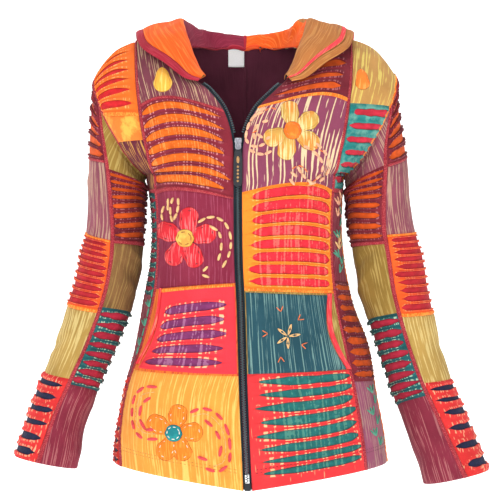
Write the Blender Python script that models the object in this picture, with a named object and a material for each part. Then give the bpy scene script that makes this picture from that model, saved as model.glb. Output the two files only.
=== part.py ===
# Patchwork jacket: a hooded zip jacket of cut and stitched jersey patches,
# filled out as worn.  Sizes are in millimetres until each mesh is written.
# +Z is up, the front faces -Y, and +X is the wearer's left.
# The origin lies midway between the two neck points, on the shoulder line.

import bpy
import bmesh
from collections import namedtuple
from functools import lru_cache
from math import asin, ceil, cos, pi, radians, sin
from mathutils import Vector

MM = 0.001

# Cloth
WALL = 1.6            # plain cloth, patch and backing together
RIDGE = 2.5           # rolled strip of a slit patch
TROUGH = 1.3          # backing seen through a slit
FRAYED_RIDGE = 3.0    # torn strip of a sleeve patch
SEAM_GAP = 0.9        # between the true edges at a seam, about 0.4 between facets
LAY_GAP = 0.9         # between a piece and the panel that it lies on, with both curved
FACE_GAP = 0.3        # between flat faces
KEEP_PITCH = 34.0     # longest stretch of the plain inside
KEEP_STRAY = 0.45     # and how far it may leave the true inside
ARM_TUCK = 2.3        # how far the body's edge stands off the sleeve's first ring
UNDER_TUCK = 1.9      # and how much more below the arm
ROW_PITCH = 24.0      # rows of a plain patch
NECK_ROW = 11         # body row of the back neck and of the zip's top
NECK_ROWS = 2         # rows from there to the shoulder seam
ROUND_POWER = 2.3     # fullness of the body's sections

# Zip.  Places out from the zip are measured from the cloth's inner face
ZIP_EDGE = 6.2        # from the zip's centre to each front edge
CHAIN_HALF = 3.0
CHAIN_BACK = -0.6
CHAIN_FRONT = 1.7
TAPE_UNDER = 5.0      # how far the tape reaches under the cloth
TAPE_BACK = -1.9
TAPE_FRONT = -0.9
ZIP_ROWS = (0.03, 10.7)   # body rows of the tape's two ends
CHAIN_CLEAR = 0.1     # from the slider up to the open chains, in rows
BOX_HALF = 4.6
BOX_BACK = 0.1
BOX_FRONT = 2.7
BOX_TOP = -626.0

# Slider and pull, sizes as width, thickness and length
SLIDER_Z = -146.0
HINGE_OUT = 5.3       # the pull's hinge
BODY_SIZE = (10.5, 4.0, 15.0)
BODY_BEVEL = 0.9
POST_SIZE = (2.2, 4.3, 1.4)
POST_OUT = 5.9        # middle of the posts, out from the slider's back
POST_APART = 8.6
BRIDGE_SIZE = (2.2, 1.4, 10.0)
BRIDGE_OUT = 7.3
LINK_SIZE = (9.0, 1.6, 10.4)
LINK_EYE = (3.8, 6.0, 5.5)
LINK_BAR = 1.6        # the link's bar through the slider's bridge
PULL_SIZE = (12.8, 2.2, 52.0)
PULL_BEVEL = 0.7

# Neck label, width and height, hung inside the back neck
LABEL_SIZE = (24.0, 26.0)
LABEL_TOP = -2.0
LABEL_SIDE = 1.5      # from the centre back
LABEL_SPOTS = 4
LABEL_FRONT = -2.0
LABEL_BACK = -1.0

# Body sections from the hem to the shoulder seam.  Front and back are the
# points on the centre lines, side the seam below the arm, and arm the angle
# round the armhole above it (0 underarm, 180 shoulder tip).
Body = namedtuple(
    "Body", "fr_x fl_x f_y f_z b_x b_y b_z side_r side_l side_z arm lift round")
BODY = (
    Body(4, 4, -128, -637, 0, 126, -640, -191, 206, -607, 0, 0, 1.0),
    Body(1, 1, -124, -575, 0, 119, -576, -187, 201, -566, 0, 0, 1.0),
    Body(-2, -2, -116, -505, 0, 107, -505, -175, 189, -503, 0, 0, 1.0),
    Body(-4, -4, -109, -440, 0, 96, -440, -158, 178, -438, 0, 0, 1.0),
    Body(-6, -6, -104, -375, 0, 89, -375, -147, 155, -374, 0, 0, 1.0),
    Body(-9, -9, -106, -315, 0, 91, -312, -136, 143, -314, 0, 0, 1.0),
    Body(-10, -10, -114, -255, 0, 99, -250, -134, 138, -250, 0, 0, 1.0),
    Body(-10, -10, -121, -198, 0, 106, -195, -139.2, 139.2, -184.1, 0, 0, 1.0),
    Body(-11, -8, -118, -145, 0, 107, -145, -147, 145, -124, 45, 0, 0.95),
    Body(-23, 8, -107, -101, 0, 103, -100, -143, 143, -186, 82, 2, 0.85),
    Body(-45, 36, -89, -70, 0, 91, -52, -143, 143, -186, 115, 8, 0.70),
    Body(-62, 52, -71, -54, 0, 60, 0, -143, 143, -186, 140, 16, 0.50),
    Body(-76, 74, -37, -24, 46, 48, 2, -143, 143, -186, 160, 26, 0.25),
    Body(-80, 80, 0, 0, 80, 0, 0, -143, 143, -186, 180, 33, 0.0),
)

# Sleeve rings from the armhole to the cuff: the outer and inner edge points,
# the ring's depth place and half depth, how far its middle bows outward, and
# the angle of the front column seam from the outer edge.
Ring = namedtuple("Ring", "xo zo xi zi y half bow seam")
SLEEVE_R = (
    Ring(-214, -44, -143, -186, 4, 58, 19, 62),
    Ring(-222, -85, -147, -191, 4, 58, 10, 66),
    Ring(-226, -125, -147, -199, 4, 56, 4, 69),
    Ring(-228, -165, -147, -211, 4, 53, 1, 72),
    Ring(-229, -210, -147, -231, 3, 49, 0, 76),
    Ring(-231, -262, -148, -268, 2, 46, 0, 83),
    Ring(-240, -306, -152, -310, 0, 44, 0, 90),
    Ring(-254, -365, -163, -364, -2, 43, 0, 92),
    Ring(-274, -428, -184, -427, -5, 42, 0, 90),
    Ring(-296, -483, -208, -485, -8, 41, 0, 87),
    Ring(-316, -538, -231, -541, -12, 40, 0, 83),
    Ring(-335, -597, -247, -615, -16, 40, 0, 76),
)
SLEEVE_L = (
    Ring(215, -40, 143, -186, 4, 58, -19, 62),
    Ring(221, -80, 148, -195, 4, 58, -10, 66),
    Ring(228, -118, 148, -204, 4, 56, -4, 70),
    Ring(235, -160, 149, -215, 4, 53, -1, 73),
    Ring(239, -206, 150, -235, 3, 49, 0, 78),
    Ring(246, -258, 152, -272, 2, 47, 0, 84),
    Ring(258, -306, 161, -310, 0, 46, 0, 89),
    Ring(269, -364, 171, -364, -2, 45, 0, 91),
    Ring(283, -428, 190, -427, -5, 44, 0, 90),
    Ring(300, -485, 209, -487, -8, 43, 0, 87),
    Ring(322, -540, 232, -543, -12, 42, 0, 83),
    Ring(355, -617, 261, -638, -16, 42, 0, 74),
)

# Soft folds: the panel, the place along its rows and across it, the reach
# each way, the slope and the depth.  A minus depth goes in.
Fold = namedtuple("Fold", "panel v at v_reach reach slope depth")
FOLDS = (
    Fold("sleeve_inner_r", 1.7, 0.30, 0.7, 0.28, 1.0, -3.0),
    Fold("sleeve_inner_r", 5.4, 0.30, 0.8, 0.30, -0.8, -3.0),
    Fold("sleeve_inner_r", 6.6, 0.32, 0.6, 0.30, 0.8, 2.4),
    Fold("sleeve_inner_r", 10.2, 0.30, 0.6, 0.30, 0.6, -2.4),
    Fold("sleeve_inner_r", 5.8, 0.72, 0.8, 0.28, 0.8, -3.0),
    Fold("sleeve_inner_l", 1.8, 0.30, 0.7, 0.28, 1.0, -3.0),
    Fold("sleeve_inner_l", 2.9, 0.32, 0.6, 0.28, 0.8, 2.4),
    Fold("sleeve_inner_l", 5.6, 0.30, 0.7, 0.30, -0.8, -3.0),
    Fold("sleeve_inner_l", 10.0, 0.30, 0.6, 0.30, 0.6, 2.4),
    Fold("sleeve_inner_l", 6.2, 0.72, 0.8, 0.28, 0.8, -3.0),
    Fold("front_center_r", 1.0, 0.62, 1.2, 0.25, 0.4, 3.0),
    Fold("front_center_l", 1.1, 0.66, 1.2, 0.25, 0.4, -3.0),
    Fold("back_center_r", 1.2, 0.70, 1.6, 0.30, 0.0, 4.0),
    Fold("back_center_l", 1.2, 0.70, 1.6, 0.30, 0.0, 4.0),
)

# Patches of each column from its lower edge up: height of the lower edge at
# the column's two sides, its bow, the number of slits and the strip height.
Patch = namedtuple("Patch", "z_a z_b bow slits ridge")
COLUMNS = {
    "front_center_r": (
        Patch(0, 0, 0, 0, 0),
        Patch(-476, -470, 0, 0, 0),
        Patch(-344, -354, 0, 0, 0),
        Patch(-225, -217, 8, 7, RIDGE),
        Patch(-97, -91, 17, 0, 0),
    ),
    "front_center_l": (
        Patch(0, 0, 0, 8, RIDGE),
        Patch(-473, -468, 0, 0, 0),
        Patch(-355, -360, 0, 8, RIDGE),
        Patch(-215, -212, 13, 0, 0),
        Patch(-96, -87, 15, 6, RIDGE),
    ),
    "front_side_r": (
        Patch(0, 0, 0, 6, FRAYED_RIDGE),
        Patch(-480, -484, 0, 0, 0),
        Patch(-362, -362, 0, 8, FRAYED_RIDGE),
        Patch(-215, -214, 0, 0, 0),
        Patch(-140, -142, 0, 0, 0),
        Patch(-106, -103, 0, 6, RIDGE),
    ),
    "front_side_l": (
        Patch(0, 0, 0, 0, 0),
        Patch(-486, -488, 0, 8, FRAYED_RIDGE),
        Patch(-341, -344, 0, 0, 0),
        Patch(-214, -214, 0, 6, FRAYED_RIDGE),
        Patch(-87, -90, 0, 0, 0),
    ),
    "back_center_r": (
        Patch(0, 0, 0, 4, RIDGE),
        Patch(-520, -516, -5, 0, 0),
        Patch(-400, -404, 6, 4, RIDGE),
        Patch(-285, -282, 5, 0, 0),
        Patch(-150, -155, 6, 0, 0),
    ),
    "back_center_l": (
        Patch(0, 0, 0, 0, 0),
        Patch(-500, -504, 5, 4, RIDGE),
        Patch(-385, -380, 6, 0, 0),
        Patch(-255, -260, 5, 4, RIDGE),
        Patch(-135, -130, 6, 0, 0),
    ),
    "back_side_r": (
        Patch(0, 0, 0, 0, 0),
        Patch(-490, -484, 0, 4, FRAYED_RIDGE),
        Patch(-362, -362, 0, 0, 0),
        Patch(-214, -214, 0, 4, FRAYED_RIDGE),
        Patch(-110, -112, 0, 0, 0),
    ),
    "back_side_l": (
        Patch(0, 0, 0, 5, FRAYED_RIDGE),
        Patch(-486, -488, 0, 0, 0),
        Patch(-341, -344, 0, 4, FRAYED_RIDGE),
        Patch(-214, -214, 0, 0, 0),
        Patch(-96, -100, 0, 4, RIDGE),
    ),
    "sleeve_outer_r": (
        Patch(0, 0, 0, 7, FRAYED_RIDGE),
        Patch(-483, -473, 0, 0, 0),
        Patch(-388, -378, 0, 5, FRAYED_RIDGE),
        Patch(-283, -270, 0, 0, 0),
        Patch(-171, -164, 0, 5, FRAYED_RIDGE),
    ),
    "sleeve_inner_r": (
        Patch(0, 0, 0, 0, 0),
        Patch(-500, -500, 0, 5, FRAYED_RIDGE),
        Patch(-384, -384, 0, 0, 0),
        Patch(-287, -292, 0, 6, FRAYED_RIDGE),
        Patch(-178, -205, 0, 0, 0),
    ),
    "sleeve_outer_l": (
        Patch(0, 0, 0, 7, FRAYED_RIDGE),
        Patch(-489, -484, 0, 0, 0),
        Patch(-394, -390, 0, 5, FRAYED_RIDGE),
        Patch(-275, -270, 0, 0, 0),
        Patch(-177, -162, 0, 5, FRAYED_RIDGE),
    ),
    "sleeve_inner_l": (
        Patch(0, 0, 0, 0, 0),
        Patch(-515, -520, 0, 5, FRAYED_RIDGE),
        Patch(-391, -396, 0, 0, 0),
        Patch(-288, -294, 0, 6, FRAYED_RIDGE),
        Patch(-172, -210, 0, 0, 0),
    ),
}
TINTS = {
    "front_center_r": "#A8324A", "front_center_l": "#F26A21",
    "front_side_r": "#C8452F", "front_side_l": "#7A2740",
    "back_center_r": "#8C4A63", "back_center_l": "#F2A93B",
    "back_side_r": "#1F7A74", "back_side_l": "#A8324A",
    "sleeve_outer_r": "#E8552A", "sleeve_inner_r": "#B28F45",
    "sleeve_outer_l": "#E8552A", "sleeve_inner_l": "#B28F45",
}

# Princess seams: the x of the seam on each body row, right and left of the
# wearer, on the front and on the back.
SEAM_FRONT_R = (-180, -181, -172, -151, -134, -126, -126, -131, -140, -149, -155, -158, -160, -161)
SEAM_FRONT_L = (175, 170, 160, 146, 132, 126, 125, 129, 137, 146, 152, 155, 156, 156)
SEAM_BACK = (105, 103, 97, 90, 84, 82, 84, 90, 97, 106, 116, 124, 131, 138)

# Columns of a panel: place across and depth of a slit there.
ACROSS = ((0, 0), (0.06, 0), (0.26, 1), (0.5, 1), (0.74, 1), (0.94, 0), (1, 0))
ACROSS_POCKET = ((0, 0), (0.067, 0), (0.29, 1), (0.556, 1), (0.822, 1), (1, 0))
ACROSS_BINDING = ((0, 0), (0.5, 0), (1, 0))
ACROSS_SIDE = ((0, 0), (0.1, 0), (0.33, 1), (0.66, 1), (0.9, 0), (1, 0))
ACROSS_BACK = ((0, 0), (0.08, 0), (0.33, 1), (0.67, 1), (0.92, 0), (1, 0))
ACROSS_SLEEVE = ((0, 0), (0.06, 0), (0.22, 1), (0.41, 1), (0.59, 1), (0.78, 1), (0.94, 0), (1, 0))

# Hood rows from the centre back to the front end: points over the roll to
# the face edge, for the wearer's left half.  Row 5 lies on the shoulder.
Hood = namedtuple("Hood", "roll fall low edge")
HOOD = (
    Hood((0, 76, 22), (0, 120, -60), (0, 148, -235), (0, 176, -80)),
    Hood((28, 72, 23), (44, 119, -50), (60, 145, -200), (68, 168, -68)),
    Hood((52, 58, 27), (84, 108, -26), (106, 136, -130), (120, 142, -40)),
    Hood((68, 46, 32), (100, 84, 6), (128, 112, -42), (148, 104, -14)),
    Hood((82, 26, 37), (110, 50, 28), (138, 66, 10), (160, 52, 10)),
    Hood((91, 0, 40), (112, 4, 38), (136, 2, 33), (160, -2, 22)),
    Hood((86, -28, 20), (106, -34, 22), (128, -42, 14), (150, -50, -4)),
    Hood((77, -50, -5), (90, -59, -3), (104, -66, -12), (116, -72, -28)),
    Hood((66, -69, -34), (73, -76, -32), (80, -82, -40), (88, -87, -50)),
    Hood((57, -80, -48), (59, -84, -46), (62, -88, -50), (67, -91, -56)),
)
HOOD_BAND = 12.0      # width of the hem band
HOOD_SHOULDER = 5
HOOD_END = 9
HOOD_ROWS = (0, 0.8, 1.6, 2.2, 2.8, 3.4, 4, 4.5, 5, 5.6, 6.4, 7.2, 8, 9)
HOOD_STEPS = (0, 0.45, 0.85, 1.15, 1.6, 2.1, 2.6, 2.85, 3.05, 3.35, 4.0)
BAND_STEPS = (4.0, 4.5, 5.0)
HOOD_HALF = 0.8       # half the thickness of the hood's cloth
BAND_HALF = 1.2
BAND_GAP = 0.035      # between hood and band, as a share of the last stretch
NECK_GAP = 2.2        # between the hood and the neck edge

# Appliques: centre, petal reach and turn, and the centre disc's radius.
Flower = namedtuple("Flower", "column x z reach petals turn disc")
FLOWERS = {
    "flower_red": Flower("front_center_r", -84, -280, 43, 5, 82, 13),
    "flower_orange": Flower("front_center_r", -100, -557, 40, 5, 78, 11),
    "flower_tan": Flower("front_center_l", 67, -128, 41, 5, 30, 12.8),
}
Drop = namedtuple("Drop", "column x z reach turn")
DROPS = {
    "teardrop_r": Drop("front_center_r", -118, -52, 17, 100),
    "teardrop_l": Drop("front_side_l", 168, -50, 14, 95),
}

# Pocket mouths: where the pocket ends across its column, low edge to top.
MOUTH_R = (0.90, 0.90, 0.90, 0.90, 0.90)
MOUTH_L = (0.92, 0.82, 0.77, 0.79, 0.85)
POCKET_PATCH = 1      # the patch of the column that the pocket lies on
POCKET_START = 0.004  # its edge beside the zip
MOUTH_GAP = 0.0025    # between the pocket and its binding, across the column
POCKET_SLITS = 5
PLAIN_ROWS = (0.15, 0.3, 0.45, 0.6, 0.75, 0.88)
BINDING_WIDE = 0.065
FACING_WIDE = 0.085
BINDING_HIGH = 2.2

# Appliques: thickness, and the dome from the middle to the rim
PETAL_HIGH = 1.2
DISC_HIGH = 1.1
DISC_GAP = 0.35
PETAL_CLEAR = 0.2     # more than the lay gap under a petal
DOME = 0.3


def clear_scene():
    for item in list(bpy.data.objects):
        bpy.data.objects.remove(item, do_unlink=True)


def tint(hex_code):
    return tuple((int(hex_code[i:i + 2], 16) / 255) ** 2.2 for i in (1, 3, 5)) + (1.0,)


def add_object(name, mesh, color, metallic=0.0, roughness=0.85):
    material = bpy.data.materials.new(name)
    material.use_nodes = True
    shader = material.node_tree.nodes["Principled BSDF"]
    shader.inputs["Base Color"].default_value = tint(color)
    shader.inputs["Metallic"].default_value = metallic
    shader.inputs["Roughness"].default_value = roughness
    mesh.materials.append(material)
    item = bpy.data.objects.new(name, mesh)
    jacket.objects.link(item)
    return item


def spline(values, v):
    # smooth curve through evenly spaced values
    last = len(values) - 1
    i = max(0, min(int(v), last - 1))
    f = v - i
    a, b, c, d = (values[max(0, min(last, i + k))] for k in (-1, 0, 1, 2))
    if i == 0:
        a = 2 * b - c
    if i == last - 1:
        d = 2 * c - b
    return 0.5 * (2 * b + (c - a) * f + (2 * a - 5 * b + 4 * c - d) * f * f
                  + (3 * b - a - 3 * c + d) * f ** 3)


@lru_cache(maxsize=None)
def body_row(v):
    return Body(*(spline(values, v) for values in zip(*BODY)))


@lru_cache(maxsize=None)
def sleeve_ring(side, v):
    rings = SLEEVE_R if side == "r" else SLEEVE_L
    return Ring(*(spline(values, v) for values in zip(*rings)))


def fold_depth(folds, v, at):
    depth = 0.0
    for fold in folds:
        across = (at - fold.at) / fold.reach
        along = (v - fold.v - fold.slope * (at - fold.at)) / fold.v_reach
        if abs(across) < 1 and abs(along) < 1:
            depth += fold.depth * cos(across * pi / 2) ** 2 * cos(along * pi / 2) ** 2
    return depth


def sleeve_point(side, v, angle):
    ring = sleeve_ring(side, v)
    turn = radians(angle)
    across, deep = cos(turn) / 2, sin(turn)
    return Vector(((ring.xo + ring.xi) / 2 + (ring.xo - ring.xi) * across - ring.bow * abs(deep),
                   ring.y - ring.half * deep,
                   (ring.zo + ring.zi) / 2 + (ring.zo - ring.zi) * across))


def column_angle(side, v, is_inner, u):
    # the angle round a sleeve of a place across its outer or inner column
    seam = sleeve_ring(side, v).seam
    trim = SEAM_GAP / (sleeve_point(side, v, seam + 1) - sleeve_point(side, v, seam - 1)).length
    start, end = (seam + trim, 360 - seam - trim) if is_inner else (seam - trim, trim - seam)
    return start + (end - start) * u


@lru_cache(maxsize=None)
def armhole_corners(side):
    angles = [column_angle(side, 0.0, is_inner, u) % 360
              for is_inner in (False, True) for u, _ in ACROSS_SLEEVE]
    return sorted((angle, tuple(sleeve_point(side, 0.0, angle))) for angle in angles)


def armhole_point(side, angle):
    # a point on the sleeve's first ring, which is straight between columns
    corners = armhole_corners(side)
    angle %= 360
    looped = [(corners[-1][0] - 360, corners[-1][1])] + corners + [(corners[0][0] + 360, corners[0][1])]
    for (low, start), (high, end) in zip(looped, looped[1:]):
        if low <= angle <= high:
            return Vector(start).lerp(Vector(end), (angle - low) / (high - low))


def armhole_inward(side):
    # the way off the armhole's plane into the body
    ring = sleeve_ring(side, 0.0)
    slope = Vector((ring.xo - ring.xi, 0, ring.zo - ring.zi)).normalized()
    return Vector((slope.z, 0, -slope.x)) * (1 if side == "r" else -1)


def arm_tuck(arm):
    low = cos(radians(arm))
    return ARM_TUCK + UNDER_TUCK * max(0.0, low) - 0.8 * max(0.0, -low) ** 4


@lru_cache(maxsize=None)
def body_ends(side, face, v):
    # a section's two ends: the centre line, then the side seam or armhole
    row = body_row(v)
    sign = -1 if side == "r" else 1
    if face < 0:
        inner = Vector(((row.fr_x if side == "r" else row.fl_x) + sign * ZIP_EDGE, row.f_y, row.f_z))
    else:
        inner = Vector((sign * max(0.0, row.b_x), row.b_y, row.b_z))
    if v <= 7:
        outer = Vector((row.side_r if side == "r" else row.side_l, 4, row.side_z))
    else:
        outer = armhole_point(side, 180 - row.arm if face < 0 else 180 + row.arm)
        outer += armhole_inward(side) * arm_tuck(row.arm)
    return inner, outer


def body_point(side, face, v, a):
    # side is "r" or "l", face -1 front or 1 back, a runs from the centre
    # line (0) to the side seam or armhole (1)
    inner, outer = body_ends(side, face, v)
    row = body_row(v)
    turn = max(0.0, min(1.0, a)) * pi / 2
    across = sin(turn) ** (2 / ROUND_POWER)
    toward = (1 - row.round) * (1 - across) + row.round * cos(turn) ** (2 / ROUND_POWER)
    swell = 1 - abs(2 * across ** 1.4 - 1) ** 2.6
    point = Vector((inner.x + (outer.x - inner.x) * across,
                    outer.y + (inner.y - outer.y) * toward,
                    inner.z + (outer.z - inner.z) * across + row.lift * swell))
    point.y += face * SEAM_GAP / 2
    return point


@lru_cache(maxsize=None)
def seam_place(side, face, v):
    # the a of the princess seam on a body section, and half its gap in a
    inner, outer = body_ends(side, face, v)
    if face < 0:
        x = spline(SEAM_FRONT_R if side == "r" else SEAM_FRONT_L, v)
    else:
        x = spline(SEAM_BACK, v) * (-1 if side == "r" else 1)
    share = max(0.0, min(1.0, (x - inner.x) / (outer.x - inner.x)))
    a = asin(share ** (ROUND_POWER / 2)) * 2 / pi
    speed = (body_point(side, face, v, a + 0.01) - body_point(side, face, v, a - 0.01)).length / 0.02
    near_arm = max(0.0, 1 - abs(v - 7.3) / 1.3)
    return a, SEAM_GAP * (1 + 1.4 * near_arm) / 2 / speed


class Panel:
    # a stretch of one surface: u across it from 0 to 1, v along its rows
    def __init__(self, name):
        self.name = name
        self.side = name[-1]
        self.is_sleeve = name.startswith("sleeve")
        self.face = 1 if name.startswith("back") else -1
        self.is_side = "side" in name
        self.is_inner = "inner" in name
        self.top = len(SLEEVE_R) - 1 if self.is_sleeve else len(BODY) - 1
        self.folds = [fold for fold in FOLDS if fold.panel == name]
        self.flip = 1
        middle = self.top * 0.5
        outward = self.point(middle, 0.5) - self.heart(middle)
        if self.normal(middle, 0.5).dot(outward) < 0:
            self.flip = -1

    def heart(self, v):
        if self.is_sleeve:
            return (sleeve_point(self.side, v, 0) + sleeve_point(self.side, v, 180)) / 2
        return Vector((0, 0, body_row(v).f_z))

    def point(self, v, u):
        # the cloth's inner face
        v = max(0.0, min(self.top, v))
        point = self.plain_point(v, u)
        depth = fold_depth(self.folds, v, u) if self.folds else 0.0
        if depth:
            point += (point - self.heart(v)).normalized() * depth * sin(pi * max(0.0, min(1.0, u)))
        return point

    def plain_point(self, v, u):
        if self.is_sleeve:
            return sleeve_point(self.side, v, column_angle(self.side, v, self.is_inner, u))
        split, trim = seam_place(self.side, self.face, v)
        if self.is_side:
            start, end = split + trim, 1
        else:
            start, end = (SEAM_GAP / 400 if self.face > 0 else 0), split - trim
        return body_point(self.side, self.face, v, start + (end - start) * u)

    def normal(self, v, u):
        dv, du = 0.04, 0.012
        along = (self.point(min(v + dv, self.top), u) - self.point(max(v - dv, 0), u))
        u_low, u_high = max(0.0, u - du), min(1.0, u + du)
        across = self.point(v, u_high) - self.point(v, u_low)
        return along.cross(across).normalized() * self.flip

    def row_at(self, z, u):
        # the v where this u has height z
        low, high = 0.0, float(self.top)
        rising = self.point(high, u).z > self.point(low, u).z
        for _ in range(18):
            mid = (low + high) / 2
            if (self.point(mid, u).z < z) == rising:
                low = mid
            else:
                high = mid
        return (low + high) / 2

    def edge_row(self, index, u):
        # v of a patch's lower edge; sleeves run from cuff (last ring) up
        patches = COLUMNS[self.name]
        if index == 0:
            return self.top if self.is_sleeve else 0.0
        if index == len(patches):
            return 0.0 if self.is_sleeve else self.top
        patch = patches[index]
        share = 1 - abs(2 * u - 1) if self.is_sleeve else u
        z = patch.z_a + (patch.z_b - patch.z_a) * share + patch.bow * 4 * u * (1 - u)
        return self.row_at(z, u)

    def place(self, x, z):
        # the v and u of the point with this x and z
        v, u = self.row_at(z, 0.5), 0.5
        for _ in range(7):
            here = self.point(v, u)
            by_v = (self.point(v + 0.02, u) - here) / 0.02
            by_u = (self.point(v, u + 0.004) - here) / 0.004
            off_x, off_z = x - here.x, z - here.z
            size = by_v.x * by_u.z - by_v.z * by_u.x
            v += max(-0.6, min(0.6, (off_x * by_u.z - off_z * by_u.x) / size))
            u += max(-0.3, min(0.3, (off_z * by_v.x - off_x * by_v.z) / size))
            v, u = max(0.0, min(self.top, v)), max(0.0, min(0.99, u))
        return v, u


def patch_rows(panel):
    # each row: its patch, share of the patch's height, how much of a slit it
    # shows and the ridge height
    rows = []
    patches = COLUMNS[panel.name]
    for index, patch in enumerate(patches):
        size = max((panel.point(panel.edge_row(index + 1, u), u)
                    - panel.point(panel.edge_row(index, u), u)).length for u in (0, 0.5, 1))
        rows.append((index, 0.0, 0.0, WALL))
        if patch.slits:
            half = 0.5 / patch.slits
            for slit in range(patch.slits):
                low = 0.5 if slit == 0 else 1.0
                rows.append((index, (2 * slit + 1 - low) * half, 0.0, patch.ridge))
                rows.append((index, (2 * slit + 1) * half, 1.0, patch.ridge))
            rows.append((index, 1 - 0.5 * half, 0.0, patch.ridge))
        else:
            count = ceil(size / ROW_PITCH)
            rows += [(index, k / count, 0.0, WALL) for k in range(1, count)]
    rows.append((len(patches) - 1, 1.0, 0.0, WALL))
    return rows


def closed_wall(name, outer, inner, kept, color):
    # outer and inner are rows of points; inner holds only the kept rows
    mesh_builder = bmesh.new()
    top = [[mesh_builder.verts.new(p * MM) for p in row] for row in outer]
    base = [[mesh_builder.verts.new(p * MM) for p in row] for row in inner]
    for sheet in (top, base):
        for low, high in zip(sheet, sheet[1:]):
            for i in range(len(low) - 1):
                corners = (low[i], low[i + 1], high[i + 1], high[i])
                mesh_builder.faces.new(corners if sheet is top else corners[::-1])
    for side in (0, -1):
        for k in range(len(kept) - 1):
            run = [top[j][side] for j in range(kept[k], kept[k + 1] + 1)]
            mesh_builder.faces.new([base[k + 1][side], base[k][side]] + run)
    for end in (0, -1):
        for i in range(len(top[0]) - 1):
            mesh_builder.faces.new((top[end][i + 1], top[end][i], base[end][i], base[end][i + 1]))
    bmesh.ops.triangulate(mesh_builder, faces=mesh_builder.faces[:])
    bmesh.ops.recalc_face_normals(mesh_builder, faces=mesh_builder.faces[:])
    mesh = bpy.data.meshes.new(name)
    mesh_builder.to_mesh(mesh)
    mesh_builder.free()
    mesh.shade_smooth()
    mesh.set_sharp_from_angle(angle=radians(40))
    add_object(name, mesh, color)


def clear_middle(x, side):
    # keeps a centre back clear of its twin
    return min(x, -SEAM_GAP / 2) if side == "r" else max(x, SEAM_GAP / 2)


def too_far(rows, start, end):
    # whether a straight stretch of the inside would leave its true rows
    for i, (low, high) in enumerate(zip(rows[start], rows[end])):
        line = high - low
        if line.length > KEEP_PITCH:
            return True
        for row in rows[start + 1:end]:
            share = (row[i] - low).dot(line) / line.length_squared
            if (row[i] - low - line * share).length > KEEP_STRAY:
                return True
    return False


def kept_rows(rows):
    kept = [0]
    for j in range(1, len(rows) - 1):
        if too_far(rows, kept[-1], j + 1):
            kept.append(j)
    return kept + [len(rows) - 1]


def meet_corner(rows, low, top):
    # moves the nearest row of the top patch to the corner of the back neck
    corner = (NECK_ROW - low) / (top - low)
    last = rows[-1][0]
    near = min((abs(row[1] - corner), j) for j, row in enumerate(rows) if row[0] == last)[1]
    rows[near] = (last, corner) + rows[near][2:]
    return rows


def make_panel(name):
    panel = Panel(name)
    columns = ACROSS_SLEEVE if panel.is_sleeve else ACROSS_SIDE if panel.is_side else ACROSS
    if name.startswith("back_center"):
        columns = ACROSS_BACK
    rows = patch_rows(panel)
    edges = [[panel.edge_row(k, u) for u, _ in columns] for k in range(len(COLUMNS[name]) + 1)]
    if name.startswith("back_center"):
        rows = meet_corner(rows, edges[-2][0], panel.top)
    outer, inner = [], []
    panel.edge_places = [edges[k][0] + (edges[k + 1][0] - edges[k][0]) * share for k, share, _, _ in rows]
    for index, share, slit, ridge in rows:
        row_outer, row_inner = [], []
        for i, (u, depth) in enumerate(columns):
            v = edges[index][i] + (edges[index + 1][i] - edges[index][i]) * share
            height = ridge - (ridge - TROUGH) * slit * depth
            if i in (0, len(columns) - 1):
                height = WALL
            point, normal = panel.point(v, u), panel.normal(v, u)
            for row, reach in ((row_outer, height), (row_inner, 0.0)):
                spot = point + normal * reach
                if panel.face > 0 and not panel.is_side and not panel.is_sleeve:
                    spot.x = clear_middle(spot.x, panel.side)
                row.append(spot)
        outer.append(row_outer)
        inner.append(row_inner)
    kept = kept_rows(inner)
    closed_wall(name, outer, [inner[j] for j in kept], kept, TINTS[name])
    return panel


def make_patch_on(name, panel, v_rows, columns, u_spans, base, heights, color):
    # a wall over part of a panel: v_rows and u_spans give its edges
    outer, inner = [], []
    for v_row, (u_low, u_high), height in zip(v_rows, u_spans, heights):
        points_out, points_in = [], []
        for share, depth in columns:
            u = u_low + (u_high - u_low) * share
            v = v_row(u)
            point, normal = panel.point(v, u), panel.normal(v, u)
            points_out.append(point + normal * (base + height(depth)))
            points_in.append(point + normal * base)
        outer.append(points_out)
        inner.append(points_in)
    closed_wall(name, outer, inner, list(range(len(outer))), color)


def make_pockets(panels):
    for side, mouth, wide, slits, color, trim in (
            ("r", MOUTH_R, FACING_WIDE, POCKET_SLITS, "#E8353A", "#F26A21"),
            ("l", MOUTH_L, BINDING_WIDE, 0, "#1F4E56", "#E8353A")):
        panel = panels["front_center_" + side]
        base = WALL + LAY_GAP
        shares = [0.01]
        for slit in range(slits):
            shares += [(slit + 0.19) / slits, (slit + 0.5) / slits, (slit + 0.81) / slits]
        if not slits:
            shares += PLAIN_ROWS
        shares.append(0.99)
        rows = [share_row(panel, POCKET_PATCH, share) for share in shares]
        ends = [spline(mouth, share * (len(mouth) - 1)) for share in shares]
        spans = [(POCKET_START, end - MOUTH_GAP) for end in ends]
        trim_spans = [(end, min(0.99, end + wide)) for end in ends]
        heights = []
        for k in range(len(shares)):
            is_slit = slits and k % 3 == 2 and k < len(shares) - 1
            heights.append(slit_height(RIDGE if slits else WALL, is_slit))
        make_patch_on("pocket_" + side, panel, rows, ACROSS_POCKET, spans, base, heights, color)
        make_patch_on("pocket_binding_" + side, panel, rows, ACROSS_BINDING, trim_spans, base,
                      [slit_height(BINDING_HIGH, False)] * len(rows), trim)


def share_row(panel, index, share):
    def at(u):
        low, high = panel.edge_row(index, u), panel.edge_row(index + 1, u)
        return low + (high - low) * share
    return at


def slit_height(ridge, is_slit):
    def at(depth):
        return ridge - (ridge - TROUGH) * depth if is_slit else ridge
    return at


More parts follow.
